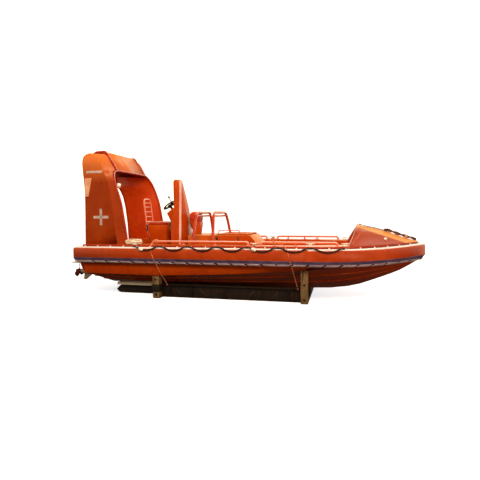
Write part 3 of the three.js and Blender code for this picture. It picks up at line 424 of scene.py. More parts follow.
        "dirt": "#221E1A", "dirtAmount": 0.4, "rough": (0.4, 0.6), "bump": 0.3,
        "set": {"IOR": 1.5},
    },
    # Hot rolled steel, painted black long ago: dull, brown with rust.
    "old black paint on steel": {
        "colours": ("#100B08", "#1A130E", "#281C14"), "patch": 170, "grit": 5, "streak": 35,
        "dirt": "#5A3520", "dirtAmount": 0.45, "rough": (0.62, 0.88), "bump": 0.5,
        "set": {"IOR": 1.5},
    },
    # Old paint worn thin on small flats.
    "dull steel": {
        "colours": ("#241C17", "#332A24", "#463A32"), "patch": 60, "grit": 3, "streak": 20,
        "dirt": "#4A3020", "dirtAmount": 0.4, "rough": (0.6, 0.8), "bump": 0.3,
        "set": {"IOR": 1.5},
    },
    # Bare edges of old steel: brown-grey, rubbed.
    "worn steel": {
        "colours": ("#3A2E24", "#57483A", "#766552"), "patch": 60, "grit": 3, "streak": 20,
        "dirt": "#5A3520", "dirtAmount": 0.4, "rough": (0.5, 0.75), "bump": 0.3,
        "set": {"Metallic": 0.35},
    },
    # Stainless steel, polished, with tea stains.
    "stainless steel": {
        "colours": ("#B9B6B0", "#CBC9C4", "#DAD8D4"), "patch": 35, "grit": 1.5, "streak": 8,
        "dirt": "#8A6A4A", "dirtAmount": 0.2, "rough": (0.18, 0.34), "bump": 0.03,
        "set": {"Metallic": 1.0},
    },
    # Grey retro-reflective tape: tiny beads give a pale milky sheen.
    "reflective tape": {
        "colours": ("#B09C9E", "#C3B1B2", "#D6C6C6"), "patch": 60, "grit": 2, "streak": 20,
        "dirt": "#7A4A3C", "dirtAmount": 0.3, "rough": (0.35, 0.5), "bump": 0.05,
        "set": {"IOR": 1.5},
    },
}


def makeFinish(name, look):
    material, tree = newMaterial(name)
    dark, middle, light = look["colours"]
    place = addNode(tree, "ShaderNodeTexCoord").outputs["Object"]
    runs = addNode(tree, "ShaderNodeMapping", {"Scale": (1, 1, 0.14)}, {"Vector": place})
    cloud = addNode(tree, "ShaderNodeTexNoise",
                    {"Scale": 1000 / look["patch"], "Detail": 5, "Roughness": 0.6}, {"Vector": place})
    grain = addNode(tree, "ShaderNodeTexNoise",
                    {"Scale": 1000 / look["grit"], "Detail": 3}, {"Vector": place})
    streak = addNode(tree, "ShaderNodeTexNoise",
                     {"Scale": 1000 / look["streak"], "Detail": 4, "Roughness": 0.65},
                     {"Vector": runs.outputs["Vector"]})
    tone = addNode(tree, "ShaderNodeValToRGB", {"stops": [(0.3, dark), (0.5, middle), (0.72, light)]},
                   {"Fac": cloud.outputs["Fac"]})
    base = tone.outputs["Color"]
    # Painted highlight: a pale colour mixed in where the face's normal looks up.
    if "paintedHighlight" in look:
        low, high, most = look["paintedHighlightOver"]
        facing = addNode(tree, "ShaderNodeSeparateXYZ", None,
                         {"Vector": addNode(tree, "ShaderNodeNewGeometry").outputs["Normal"]})
        highlightShare = addNode(tree, "ShaderNodeMapRange",
                         {"From Min": low, "From Max": high, "To Min": 0.0, "To Max": most},
                         {"Value": facing.outputs["Z"]})
        highlighted = addNode(tree, "ShaderNodeMix", {"data_type": "RGBA", 7: linear(look["paintedHighlight"])},
                        {0: highlightShare.outputs["Result"], 6: base})
        base = highlighted.outputs[2]
    # Painted light: a lighter colour mixed in above a level, where the light falls on the high faces.
    if "paintedLightLevels" in look:
        low, high, slope, most = look["paintedLightLevels"]
        spot = addNode(tree, "ShaderNodeSeparateXYZ", None, {"Vector": place})
        lean = addNode(tree, "ShaderNodeMath", {"operation": "MULTIPLY", 1: -slope}, {0: spot.outputs["X"]})
        level = addNode(tree, "ShaderNodeMath", {"operation": "ADD"},
                        {0: spot.outputs["Z"], 1: lean.outputs["Value"]})
        reach = addNode(tree, "ShaderNodeMapRange",
                        {"From Min": low, "From Max": high, "To Min": 0.0, "To Max": most},
                        {"Value": level.outputs["Value"]})
        highlighted = addNode(tree, "ShaderNodeMix", {"data_type": "RGBA", 7: linear(look["paintedLightHigh"])},
                        {0: reach.outputs["Result"], 6: base})
        base = highlighted.outputs[2]
    grime = addNode(tree, "ShaderNodeMapRange",
                    {"From Min": 0.52, "From Max": 0.78, "To Min": 0.0, "To Max": look["dirtAmount"]},
                    {"Value": streak.outputs["Fac"]})
    colour = addNode(tree, "ShaderNodeMix", {"data_type": "RGBA", 7: linear(look["dirt"])},
                     {0: grime.outputs["Result"], 6: base})
    low, high = look["rough"]
    polish = addNode(tree, "ShaderNodeMapRange",
                     {"From Min": 0.3, "From Max": 0.7, "To Min": low, "To Max": high},
                     {"Value": cloud.outputs["Fac"]})
    relief = addNode(tree, "ShaderNodeBump", {"Strength": 0.6, "Distance": look["bump"] / 1000},
                     {"Height": grain.outputs["Fac"]})
    skin = addNode(tree, "ShaderNodeBsdfPrincipled", look["set"],
                   {"Base Color": colour.outputs[2], "Roughness": polish.outputs["Result"],
                    "Normal": relief.outputs["Normal"]})
    addNode(tree, "ShaderNodeOutputMaterial", None, {"Surface": skin.outputs["BSDF"]})
    return material


paint = {name: makeFinish(name, look) for name, look in finishes.items()}


# Sawn softwood left outdoors: silvered, long grain along the plank, dark checks.
def woodMaterial(name, look):
    material, tree = newMaterial(name)
    place = addNode(tree, "ShaderNodeTexCoord").outputs["Object"]
    stretch = [0.06 if axis == look["along"] else 1.0 for axis in "XYZ"]
    fibre = addNode(tree, "ShaderNodeMapping", {"Scale": stretch}, {"Vector": place})
    rings = addNode(tree, "ShaderNodeTexNoise",
                    {"Scale": 1000 / look["grain"], "Detail": 6, "Roughness": 0.7},
                    {"Vector": fibre.outputs["Vector"]})
    checks = addNode(tree, "ShaderNodeTexNoise", {"Scale": 1000 / look["check"], "Detail": 2},
                     {"Vector": fibre.outputs["Vector"]})
    tone = addNode(tree, "ShaderNodeValToRGB", {"stops": list(zip((0.25, 0.5, 0.75), look["colours"]))},
                   {"Fac": rings.outputs["Fac"]})
    crack = addNode(tree, "ShaderNodeMapRange",
                    {"From Min": 0.3, "From Max": 0.38, "To Min": 0.85, "To Max": 0.0},
                    {"Value": checks.outputs["Fac"]})
    colour = addNode(tree, "ShaderNodeMix", {"data_type": "RGBA", 7: linear(look["crackColour"])},
                     {0: crack.outputs["Result"], 6: tone.outputs["Color"]})
    relief = addNode(tree, "ShaderNodeBump", {"Strength": 0.9, "Distance": 0.0015},
                     {"Height": rings.outputs["Fac"]})
    skin = addNode(tree, "ShaderNodeBsdfPrincipled", {"Roughness": 0.85, "Specular IOR Level": 0.3},
                   {"Base Color": colour.outputs[2], "Normal": relief.outputs["Normal"]})
    addNode(tree, "ShaderNodeOutputMaterial", None, {"Surface": skin.outputs["BSDF"]})
    return material


postWood = {"along": "Z", "grain": 14, "check": 30, "colours": ("#3A2C1C", "#6B583D", "#9C875F"),
            "crackColour": "#1D140C"}
plankWood = {"along": "X", "grain": 12, "check": 40, "colours": ("#CFC2A4", "#EDE4CE", "#FFFDF4"),
             "crackColour": "#6C5A40"}
keelWood = {"along": "X", "grain": 16, "check": 34, "colours": ("#2A1E14", "#4A3826", "#69543A"),
            "crackColour": "#140D08"}
paint["post timber"] = woodMaterial("weathered post timber", postWood)
paint["plank timber"] = woodMaterial("sawn plank timber", plankWood)
paint["keel timber"] = woodMaterial("oiled keel timber", keelWood)
print("finishes made:", len(paint))


# CAD pieces with their edges rounded as the mould or the welder left them.
# Columns: node, finish, edge radius in mm, segments, angle over which an edge counts.
roundedPieces = [
    ("hull", "hull gelcoat", 4, 2, 24),
    ("cockpit_liner", "upper moulding gelcoat", 8, 2, 40),
    ("foredeck", "foredeck gelcoat", 6, 2, 24),
    ("fender_starboard", "fender skin", 3, 2, 20),
    ("fender_port", "fender skin", 3, 2, 20),
    ("fender_bow", "fender skin", 3, 2, 20),
    ("tower_leg_starboard", "tower gelcoat", 0, 1, 15),
    ("tower_leg_port", "far tower gelcoat", 0, 1, 15),
    ("tower_roof", "tower gelcoat", 0, 1, 34),
    ("console", "upper moulding gelcoat", 10, 3, 16),
    ("engine_casing", "casing gelcoat", 10, 3, 24),
    ("engine_lid", "casing gelcoat", 5, 2, 30),
    ("engine_block", "engine enamel", 12, 2, 30),
    ("helm_seat_base", "upper moulding gelcoat", 12, 3, 24),
    ("forward_seat_base", "upper moulding gelcoat", 12, 3, 24),
    ("transom_shield", "drive enamel", 3, 2, 30),
    ("drive_gimbal", "drive enamel", 3, 2, 30),
    ("drive_leg", "drive enamel", 5, 2, 24),
    ("propeller", "antifouling red", 1, 2, 40),
    ("steering_column", "black grip rubber", 2, 2, 30),
    ("throttle", "black grip rubber", 2, 2, 30),
    ("cradle_frame", "old black paint on steel", 3, 2, 30),
    ("cradle_keel_plank", "keel timber", 3, 2, 30),
    ("cradle_stern_plank_port", "plank timber", 3, 2, 30),
    ("cradle_stern_plank_starboard", "plank timber", 3, 2, 30),
    ("cradle_post_aft_port", "post timber", 5, 2, 30),
    ("cradle_post_aft_starboard", "post timber", 5, 2, 30),
    ("cradle_post_forward_port", "post timber", 5, 2, 30),
    ("cradle_post_forward_starboard", "post timber", 5, 2, 30),
]

# Round bars and small parts: only smoothed.
smoothPieces = [
    ("fender_band_starboard", "shadow rubber"),
    ("fender_band_port", "shadow rubber"),
    ("fender_band_bow", "shadow rubber"),
    ("aft_rail_starboard", "powder coated tube"),
    ("aft_rail_port", "powder coated tube"),
    ("forward_rail_starboard", "powder coated tube"),
    ("forward_rail_port", "powder coated tube"),
    ("console_grab_tube", "highlight-painted tube"),
    ("grab_hoop_aft", "red coated tube"),
    ("grab_hoop_forward", "red coated tube"),
    ("casing_handrail", "powder coated tube"),
    ("helm_backrest", "powder coated tube"),
    ("steering_wheel", "black grip rubber"),
    ("bow_light", "white plastic"),
]


# The hoops' thick coat makes them look stouter, by these metres.
stoutPieces = {"grab_hoop_aft": 0.005, "grab_hoop_forward": 0.005}


def bodyOf(nodeName):
    return next(body for body, nodes in frame["record"]["behaviour"]["bodies"].items() if nodeName in nodes)


def copyOfNode(nodeName, newName, keepFacets=False):
    source = frame["nodes"][nodeName]
    selectOnly(source)
    bpy.ops.object.duplicate()
    copy = bpy.context.active_object
    copy.name = newName
    copy.data.name = newName
    copy.data.materials.clear()
    bpy.ops.object.mode_set(mode="EDIT")
    bpy.ops.mesh.select_all(action="SELECT")
    bpy.ops.mesh.remove_doubles(threshold=0.00005)
    if not keepFacets:
        bpy.ops.mesh.dissolve_limited(angle_limit=math.radians(0.6))
    bpy.ops.object.mode_set(mode="OBJECT")
    return copy


def roundEdges(item, radius, segments, angle):
    if radius == 0:
        return
    bevel = item.modifiers.new("moulded edge", "BEVEL")
    bevel.width = radius / 1000
    bevel.segments = segments
    bevel.limit_method = "ANGLE"
    bevel.angle_limit = math.radians(angle)
    bevel.harden_normals = True
    selectOnly(item)
    bpy.ops.object.modifier_apply(modifier=bevel.name)


for nodeName, finishName, radius, segments, angle in roundedPieces:
    piece = copyOfNode(nodeName, nodeName + "_moulded", nodeName.startswith(("fender", "tower")))
    roundEdges(piece, radius, segments, angle)
    selectOnly(piece)
    bpy.ops.object.shade_smooth_by_angle(angle=math.radians(angle + 6))
    piece.data.materials.append(paint[finishName])
    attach(piece, bodyOf(nodeName))
    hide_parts(nodeName)

for nodeName, finishName in smoothPieces:
    piece = copyOfNode(nodeName, nodeName + "_smooth")
    if nodeName in stoutPieces:
        padding = piece.modifiers.new("coat", "DISPLACE")
        padding.strength = stoutPieces[nodeName]
        padding.mid_level = 0
        bpy.ops.object.modifier_apply(modifier=padding.name)
    bpy.ops.object.shade_smooth_by_angle(angle=math.radians(50))
    piece.data.materials.append(paint[finishName])
    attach(piece, bodyOf(nodeName))
    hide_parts(nodeName)
print("CAD pieces finished")


# Seat cushions: vinyl over foam, blown up by Cloth from a slightly smaller shape. Sizes in metres.
cushionLook = {
    "helm_seat_cushion": {"voxel": 0.0095, "shrink": 0.007, "cap": 0.010, "pressure": 4, "fill": 0.8},
    "forward_seat_cushion": {
        "voxel": 0.008, "shrink": 0.008, "cap": 0.014, "pressure": 4, "fill": 0.85,
        "gathers": {"middle": (midX - 1.095, deckZ + 0.478), "reach": 0.105, "folds": 9, "depth": 0.006,
                    "dimple": 0.03, "dimpleDepth": 0.008},
    },
}
clothLook = {"quality": 4, "steps": 20}


def addModifier(item, kind, settings):
    modifier = item.modifiers.new(kind.lower(), kind)
    for key, value in settings.items():
        setattr(modifier, key, value)
    selectOnly(item)
    bpy.ops.object.modifier_apply(modifier=modifier.name)


def softEdge(item, width, segments):
    addModifier(item, "BEVEL", {"width": width, "segments": segments, "limit_method": "ANGLE"})


def block(size, place=(0, 0, 0)):
    bpy.ops.mesh.primitive_cube_add(size=1, location=place)
    item = bpy.context.active_object
    item.scale = size
    bpy.ops.object.transform_apply(location=True, rotation=True, scale=True)
    return item


# Opens a closed shape in edit mode with only its top faces selected.
def pickTop(item):
    bpy.ops.object.mode_set(mode="EDIT")
    bpy.ops.mesh.select_all(action="DESELECT")
    bpy.ops.object.mode_set(mode="OBJECT")
    for face in item.data.polygons:
        face.select = face.normal.z > 0.9
    bpy.ops.object.mode_set(mode="EDIT")


# The turn and move that stand an upright piece at a place, along a direction.
def standing(place, along):
    return Matrix.Translation(place) @ Vector(along).to_track_quat("Z", "Y").to_matrix().to_4x4()


def swell(piece, look):
    cloth = piece.modifiers.new("padding", "CLOTH")
    cloth.settings.use_pressure = True
    cloth.settings.uniform_pressure_force = look["pressure"]
    cloth.settings.effector_weights.gravity = 0
    cloth.settings.quality = clothLook["quality"]
    before = [vertex.co.copy() for vertex in piece.data.vertices]
    for step in range(1, clothLook["steps"] + 1):
        bpy.context.scene.frame_set(step)
    selectOnly(piece)
    bpy.ops.object.modifier_apply(modifier=cloth.name)
    bpy.context.scene.frame_set(1)
    for vertex, start in zip(piece.data.vertices, before):
        move = vertex.co - start
        if move.length > look["cap"]:
            vertex.co = start + move * (look["cap"] / move.length)


def makeCushion(nodeName, look):
    piece = copyOfNode(nodeName, nodeName + "_padded", True)
    addModifier(piece, "REMESH", {"mode": "VOXEL", "voxel_size": look["voxel"]})
    addModifier(piece, "DISPLACE", {"strength": -look["shrink"], "mid_level": 0})
    swell(piece, look)
    addModifier(piece, "SUBSURF", {"levels": 1})
    return piece


# Gathers in the cover: folds that fan out from the middle of each end, round a dimple.
def gather(piece, look):
    for vertex in piece.data.vertices:
        x = vertex.co.x - look["middle"][0]
        z = vertex.co.z - look["middle"][1]
        reach = math.hypot(x, z)
        if abs(vertex.normal.y) < 0.5 or reach > look["reach"]:
            continue
        share = math.sin(math.pi * min(1.0, reach / look["reach"]))
        fold = math.cos(look["folds"] * math.atan2(z, x))
        dimple = look["dimpleDepth"] * max(0.0, 1 - reach / look["dimple"])
        vertex.co -= vertex.normal * (look["depth"] * share * (0.5 - 0.5 * fold) + dimple)


for nodeName, look in cushionLook.items():
    piece = makeCushion(nodeName, look)
    if "gathers" in look:
        gather(piece, look["gathers"])
    selectOnly(piece)
    bpy.ops.object.shade_smooth_by_angle(angle=math.radians(60))
    piece.data.materials.clear()
    piece.data.materials.append(paint["seat vinyl"])
    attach(piece, bodyOf(nodeName))
    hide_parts(nodeName)
    print("cushion", nodeName, "faces:", len(piece.data.polygons))


# The line that the fender follows, as in the model: X, half breadth, lift, in millimetres, stern to bow.
sheerLine = [(-2880, 1030, 0), (1100, 1030, 0), (1440, 1005, 0), (1745, 920, 0), (1950, 820, 1.5),
             (2210, 665, 7.6), (2450, 490, 17.4), (2620, 345, 26.7), (2760, 215, 36), (2850, 118, 42.8),
             (2880, 60, 45), (2880, -60, 45)]


def lineSteps():
    lengths = [0.0]
    for (x0, y0, _), (x1, y1, _) in zip(sheerLine, sheerLine[1:]):
        lengths.append(lengths[-1] + math.hypot(x1 - x0, y1 - y0) / 1000)
    return lengths


lineLengths = lineSteps()


# A place on the fender: travel along its line, out from the hull side and up from the gunwale, in metres.
def onFender(travel, out, up, side):
    outward = []
    for (x0, y0, _), (x1, y1, _) in zip(sheerLine, sheerLine[1:]):
        length = math.hypot(x1 - x0, y1 - y0)
        outward.append(Vector(((y0 - y1) / length, (x1 - x0) / length)))
    index = max(i for i in range(len(sheerLine) - 1) if travel >= lineLengths[i] or i == 0)
    share = (travel - lineLengths[index]) / (lineLengths[index + 1] - lineLengths[index])
    corners = []
    for i in (index, index + 1):
        before = outward[max(i - 1, 0)]
        after = outward[min(i, len(outward) - 1)]
        mitre = (before + after) / (1 + before.dot(after))
        corners.append(Vector((sheerLine[i][0], sheerLine[i][1])) / 1000 + mitre * out)
    x, y = corners[0].lerp(corners[1], share)
    lift = (sheerLine[index][2] * (1 - share) + sheerLine[index + 1][2] * share) / 1000
    return atDeck(x, side * y, up + lift)


def ride(piece, finishName, body="boat", smooth=None):
    piece.data.materials.clear()
    piece.data.materials.append(paint[finishName])
    if smooth is not None:
        selectOnly(piece)
        bpy.ops.object.shade_smooth_by_angle(angle=math.radians(smooth))
    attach(piece, body)
    return piece


def joined(name, pieces):
    selectOnly(*pieces)
    if len(pieces) > 1:
        bpy.ops.object.join()
    whole = bpy.context.active_object
    whole.name = name
    whole.data.name = name
    return settle(whole)


# A strip laid on the fender line. rows are (out, up) in metres from its upper to its lower edge;
# slant moves its lower edge forward.
def layStrip(name, start, end, rows, across, slant, side, thick):
    bpy.ops.mesh.primitive_grid_add(x_subdivisions=across, y_subdivisions=len(rows) - 1, size=1)
    strip = bpy.context.active_object
    strip.name = name
    for vertex in strip.data.vertices:
        down = 0.5 - vertex.co.y
        row = round(down * (len(rows) - 1))
        travel = start + (end - start) * (vertex.co.x + 0.5) + slant * down
        vertex.co = onFender(travel, rows[row][0], rows[row][1], side)
    strip.data.update()
    selectOnly(strip)
    bpy.ops.object.mode_set(mode="EDIT")
    bpy.ops.mesh.select_all(action="SELECT")
    if side < 0:
        bpy.ops.mesh.flip_normals()
    bpy.ops.object.mode_set(mode="OBJECT")
    addModifier(strip, "SOLIDIFY", {"thickness": thick, "offset": -1})
    return strip


bandLook = {
    "pitch": 0.2506,        # from one pad to the next, in metres
    "start": -0.118,        # travel of the aft end
    "past": 0.06,           # run past the line's last corner
    "firstCut": 0.273,      # travel of the first cut
    "cut": 0.052,           # width of the dark cut
    "slant": 0.040,
    "slantTurns": 3.3,      # travel past which the cuts lean the other way
    "bendFrom": 3.9,        # travel past which a pad bends round the bow
    "leastPad": 0.05,
    "strip": [(0.1225, -0.2205), (0.1205, -0.2235), (0.0905, -0.2620), (0.0862, -0.2680), (0.0862, -0.2735),
              (0.0845, -0.2775)],
    "pad": [(0.0835, -0.2800), (0.0750, -0.2945), (0.0690, -0.3000), (0.0640, -0.3050), (0.0560, -0.3100)],
    # Rows of the dark strips under the gunwale's lip and in the fender's groove: painted shade.
    "lipShade": [(0.0022, -0.0065), (0.0022, -0.0305)],
    "grooveShade": [(0.0040, -0.0308), (0.0300, -0.0308)],
    # A skin patch glued over the joint between the fender's lengths.
    "patch": [(0.0320, -0.0310), (0.0782, -0.0310), (0.1045, -0.0412), (0.1179, -0.0655), (0.1210, -0.0948),
              (0.1210, -0.2212)],
    "joint": 3.980,
    "patchHalf": 0.022,
}


def dressBand(side, word, look):
    end = lineLengths[-2] + look["past"]
    strip = layStrip("band_strip_" + word, look["start"], end, look["strip"], 150, 0, side, 0.004)
    softEdge(strip, 0.0008, 1)
    ride(strip, "slate rubber", smooth=40)
    pads = []
    start = look["start"]
    nextCut = look["firstCut"]
    while start < end - look["leastPad"]:
        stop = min(nextCut - look["cut"], end)
        across = 8 if start > look["bendFrom"] else 2
        slant = look["slant"] if stop < end else 0.0
        if start > look["slantTurns"]:
            slant = -slant
        pads.append(layStrip("pad", start, stop, look["pad"], across, slant, side, 0.006))
        start = nextCut
        nextCut += look["pitch"]
    pad = joined("band_pads_" + word, pads)
    softEdge(pad, 0.0012, 1)
    # The pads' paler finish is a painted highlight.
    ride(pad, "highlight-painted rubber", smooth=40)
    # Two dark strips laid where there is only shade: painted shade under the gunwale's lip and in the
    # fender's groove.
    for name, rows, finishName in (("gunwale_seal_", look["lipShade"], "shade-painted edge trim"),
                                   ("fender_groove_", look["grooveShade"], "painted groove shade")):
        ride(layStrip(name + word, 0.0, end, rows, 120, 0, side, 0.003), finishName, smooth=40)
    patch = layStrip("fender_patch_" + word, look["joint"] - look["patchHalf"],
                     look["joint"] + look["patchHalf"], look["patch"], 6, 0, side, 0.002)
    ride(patch, "fender skin", smooth=15)
    return len(pads)


for word, side in sides:
    print("band", word, "pads:", dressBand(side, word, bandLook))


# Small domed screw heads, modelled once and copied, then joined.
screwLook = {"radius": 0.0125, "height": 0.011, "spacing": 0.2506, "out": 0.019, "up": -0.032, "first": 0.06,
             "spare": 0.02}


def screwHeads(name, places, radius, height, finishName, body="boat"):
    bpy.ops.mesh.primitive_cylinder_add(vertices=12, radius=radius, depth=height, location=(0, 0, height / 2))
    model = bpy.context.active_object
    pickTop(model)
    bpy.ops.mesh.inset(thickness=radius * 0.35, depth=height * 0.45)
    bpy.ops.object.mode_set(mode="OBJECT")
    settle(model)
    heads = []
    for place, up in places:
        head = model.copy()
        head.data = model.data.copy()
        bpy.context.collection.objects.link(head)
        head.matrix_world = standing(place, up)
        heads.append(head)
    bpy.data.objects.remove(model)
    return ride(joined(name, heads), finishName, body, smooth=35)


# The fender's screw heads are white: a painted glint for the bolts' shine.
for word, side in sides:
    places = []
    travel = screwLook["first"]
    while travel < lineLengths[-2] - screwLook["spare"]:
        places.append((onFender(travel, screwLook["out"], screwLook["up"], side), (0, 0, 1)))
        travel += screwLook["spacing"]
    screwHeads("fender_screws_" + word, places, screwLook["radius"], screwLook["height"], "white plastic")
print("fender trimmed")


# A smooth line through the points, in steps of about the given length.
def smoothLine(points, step):
    points = [Vector(point) for point in points]
    ends = [points[0] * 2 - points[1]] + points + [points[-1] * 2 - points[-2]]
    fine = []
    for p0, p1, p2, p3 in zip(ends, ends[1:], ends[2:], ends[3:]):
        count = max(1, round((p2 - p1).length / step))
        for k in range(count):
            t = k / count
            fine.append(0.5 * (2 * p1 + (p2 - p0) * t + (2 * p0 - 5 * p1 + 4 * p2 - p3) * t ** 2
                               + (3 * p1 - p0 - 3 * p2 + p3) * t ** 3))
    fine.append(points[-1])
    return fine


def ropeLength(line):
    return sum((b - a).length for a, b in zip(line, line[1:]))


# Laid rope: a profile of three strands that turns along its line.
def strandProfile(radius):
    bpy.ops.curve.primitive_bezier_circle_add(radius=radius)
    profile = bpy.context.active_object
    profile.data.splines.clear()
    ring = profile.data.splines.new("POLY")
    ring.points.add(11)
    for k in range(12):
        angle = 2 * math.pi * k / 12
        reach = radius * (0.86 + 0.14 * abs(math.cos(1.5 * angle)) ** 0.7)
        ring.points[k].co = (reach * math.cos(angle), reach * math.sin(angle), 0, 1)
    ring.use_cyclic_u = True
    return profile


def lineCurve(name, line):
    bpy.ops.curve.primitive_bezier_curve_add()
    curve = bpy.context.active_object
    curve.name = name
    curve.data.splines.clear()
    spline = curve.data.splines.new("POLY")
    spline.points.add(len(line) - 1)
    for k, point in enumerate(line):
        spline.points[k].co = (*point, 1)
    curve.data.dimensions = "3D"
    curve.data.use_fill_caps = True
    return curve


def meshOfCurve(curve, name):
    selectOnly(curve)
    bpy.ops.object.convert(target="MESH")
    item = settle(bpy.context.active_object)
    item.data.name = name
    return item


def layRope(name, line, diameter, finishName):
    pitch = diameter * 3.4
    rope = lineCurve(name, line)
    travelled = 0.0
    for k, point in enumerate(line):
        travelled += (point - line[k - 1]).length if k else 0.0
        rope.data.splines[0].points[k].tilt = 2 * math.pi * travelled / pitch
    rope.data.twist_mode = "MINIMUM"
    profile = strandProfile(diameter / 2)
    rope.data.bevel_mode = "OBJECT"
    rope.data.bevel_object = profile
    rope = meshOfCurve(rope, name)
    bpy.data.objects.remove(profile)
    return ride(rope, finishName, smooth=60)


lifelineLook = {
    "start": -1.840, "end": 1.655, "spans": 7, "diameter": 0.026,
    "shape": [(0.0, 0.074, -0.0190), (0.13, 0.124, -0.021), (0.32, 0.1385, -0.060), (0.5, 0.1385, -0.074),
              (0.68, 0.1385, -0.060), (0.87, 0.124, -0.021)],
    "floats": [-1.68, 0.272],
    "float": (0.031, 0.095),        # radius, length
    "saddle": (0.0165, 0.026),      # radius, length
    "step": 0.012,
}


def travelAtX(x):
    for k, (a, b) in enumerate(zip(sheerLine, sheerLine[1:])):
        if a[0] <= x * 1000 <= b[0]:
            return lineLengths[k] + (x * 1000 - a[0]) / (b[0] - a[0]) * (lineLengths[k + 1] - lineLengths[k])
    return lineLengths[-2]


def lifelinePoints(look, side):
    span = (look["end"] - look["start"]) / look["spans"]
    points = []
    for n in range(look["spans"]):
        for share, out, up in look["shape"]:
            points.append(onFender(travelAtX(look["start"] + (n + share) * span), out, up, side))
    out, up = look["shape"][0][1:]
    points.append(onFender(travelAtX(look["end"]), out, up, side))
    return points


# A float threaded on the lifeline.
def ropeFloat(name, middle, along, radius, length):
    bpy.ops.mesh.primitive_uv_sphere_add(segments=20, ring_count=12, radius=1)
    item = bpy.context.active_object
    item.matrix_world = standing(middle, along) @ Matrix.Diagonal((radius, radius, length / 2, 1))
    settle(item)
    item.name = name
    return item


def saddle(place, radius, length):
    bpy.ops.mesh.primitive_cylinder_add(vertices=16, radius=radius, depth=length, location=place,
                                        rotation=(0, math.pi / 2, 0))
    item = bpy.context.active_object
    softEdge(item, 0.003, 2)
    return settle(item)


for word, side in sides:
    corners = lifelinePoints(lifelineLook, side)
    line = smoothLine(corners, lifelineLook["step"])
    rope = layRope("lifeline_rope_" + word, line, lifelineLook["diameter"], "dark rope")
    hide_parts("lifeline_" + word)
    floats = []
    for x in lifelineLook["floats"]:
        near = min(range(1, len(line) - 1), key=lambda k: abs(line[k].x - midX - x))
        floats.append(ropeFloat("float", line[near], line[near + 1] - line[near - 1], *lifelineLook["float"]))
    floatPiece = ride(joined("lifeline_floats_" + word, floats), "white plastic", smooth=60)
    rests = [corners[k] for k in range(0, len(corners), 6)]
    saddles = [saddle(place, *lifelineLook["saddle"]) for place in rests]
    saddlePiece = ride(joined("lifeline_saddles_" + word, saddles), "black grip rubber", smooth=40)
print("lifelines laid")


# Tower: reflective marks, the fairing, the lamp and the trim round its openings.
def projected(item, target, offset):
    addModifier(item, "SHRINKWRAP", {"target": bpy.data.objects[target], "wrap_method": "PROJECT",
                                     "offset": offset, "use_project_y": True, "use_positive_direction": True,
                                     "use_negative_direction": True, "wrap_mode": "ABOVE_SURFACE"})


markLook = {
    "bars": [(-2.7055, 1.296, 0.299, 0.042), (-2.568, 0.4855, 0.048, 0.293), (-2.569, 0.483, 0.298, 0.048)],
    "thick": 0.0012,
    "lift": 0.0012,
    "startY": 0.96,
}


def towerMark(middleX, middleZ, wide, high, side):
    bpy.ops.mesh.primitive_grid_add(x_subdivisions=12, y_subdivisions=12, size=1,
                                    location=atDeck(middleX, side * markLook["startY"], middleZ),
                                    rotation=(math.pi / 2 * (1 if side < 0 else -1), 0, 0))
    mark = bpy.context.active_object
    mark.scale = (wide, high, 1)
    bpy.ops.object.transform_apply(location=True, rotation=True, scale=True)
    projected(mark, "tower_leg_" + ("starboard" if side < 0 else "port") + "_moulded", markLook["lift"])
    addModifier(mark, "SOLIDIFY", {"thickness": markLook["thick"], "offset": 1})
    return mark


for word, side in sides:
    bars = [towerMark(*bar, side) for bar in markLook["bars"]]
    ride(joined("tower_marks_" + word, bars), "reflective tape", smooth=30)

fairingLook = {"top": (-2.886, -2.742, 1.187), "foot": (-2.866, -2.806, 0.850), "proud": 0.026}


def towerFairing(look, side):
    aft, fore, high = look["top"]
    aftLow, foreLow, low = look["foot"]
    piece = block((fore - aft, 0.02, high - low), atDeck((aft + fore) / 2, side * 0.915, (high + low) / 2))
    for vertex in piece.data.vertices:
        top = vertex.co.z > deckZ + (high + low) / 2
        front = vertex.co.x > midX + (aft + fore) / 2
        outside = vertex.co.y * side > 0.915
        vertex.co.x = midX + ((fore if front else aft) if top else (foreLow if front else aftLow))
        vertex.co.y = side * ((0.9125 if top else 0.919 + look["proud"]) if outside else 0.88)
    softEdge(piece, 0.006, 3)
    return piece


for word, side in sides:
    fairing = towerFairing(fairingLook, side)
    fairing.name = "tower_fairing_" + word
    ride(fairing, "sunlit gelcoat", smooth=35)


def tubeAlong(name, points, radius, finishName, step=0.02):
    tube = lineCurve(name, smoothLine([atDeck(*point) for point in points], step))
    tube.data.bevel_depth = radius
    tube.data.bevel_resolution = 3
    return ride(meshOfCurve(tube, name), finishName, smooth=50)


# The rolled edge of the arch, from one foot over the hood to the other, painted dark red as shade.
archLook = {
    "radius": 0.022,
    "half": [(-2.118, 0.818, 0.03), (-2.165, 0.816, 0.35), (-2.222, 0.812, 0.70), (-2.278, 0.810, 0.90),
             (-2.328, 0.804, 1.04), (-2.374, 0.772, 1.17), (-2.408, 0.722, 1.25), (-2.428, 0.655, 1.305),
             (-2.434, 0.57, 1.335), (-2.436, 0.45, 1.340), (-2.436, 0.2, 1.342), (-2.436, 0, 1.342)],
}
wholeArch = archLook["half"] + [(x, -y, z) for x, y, z in reversed(archLook["half"][:-1])]
tubeAlong("tower_arch_trim", wholeArch, archLook["radius"], "shade-painted edge trim")

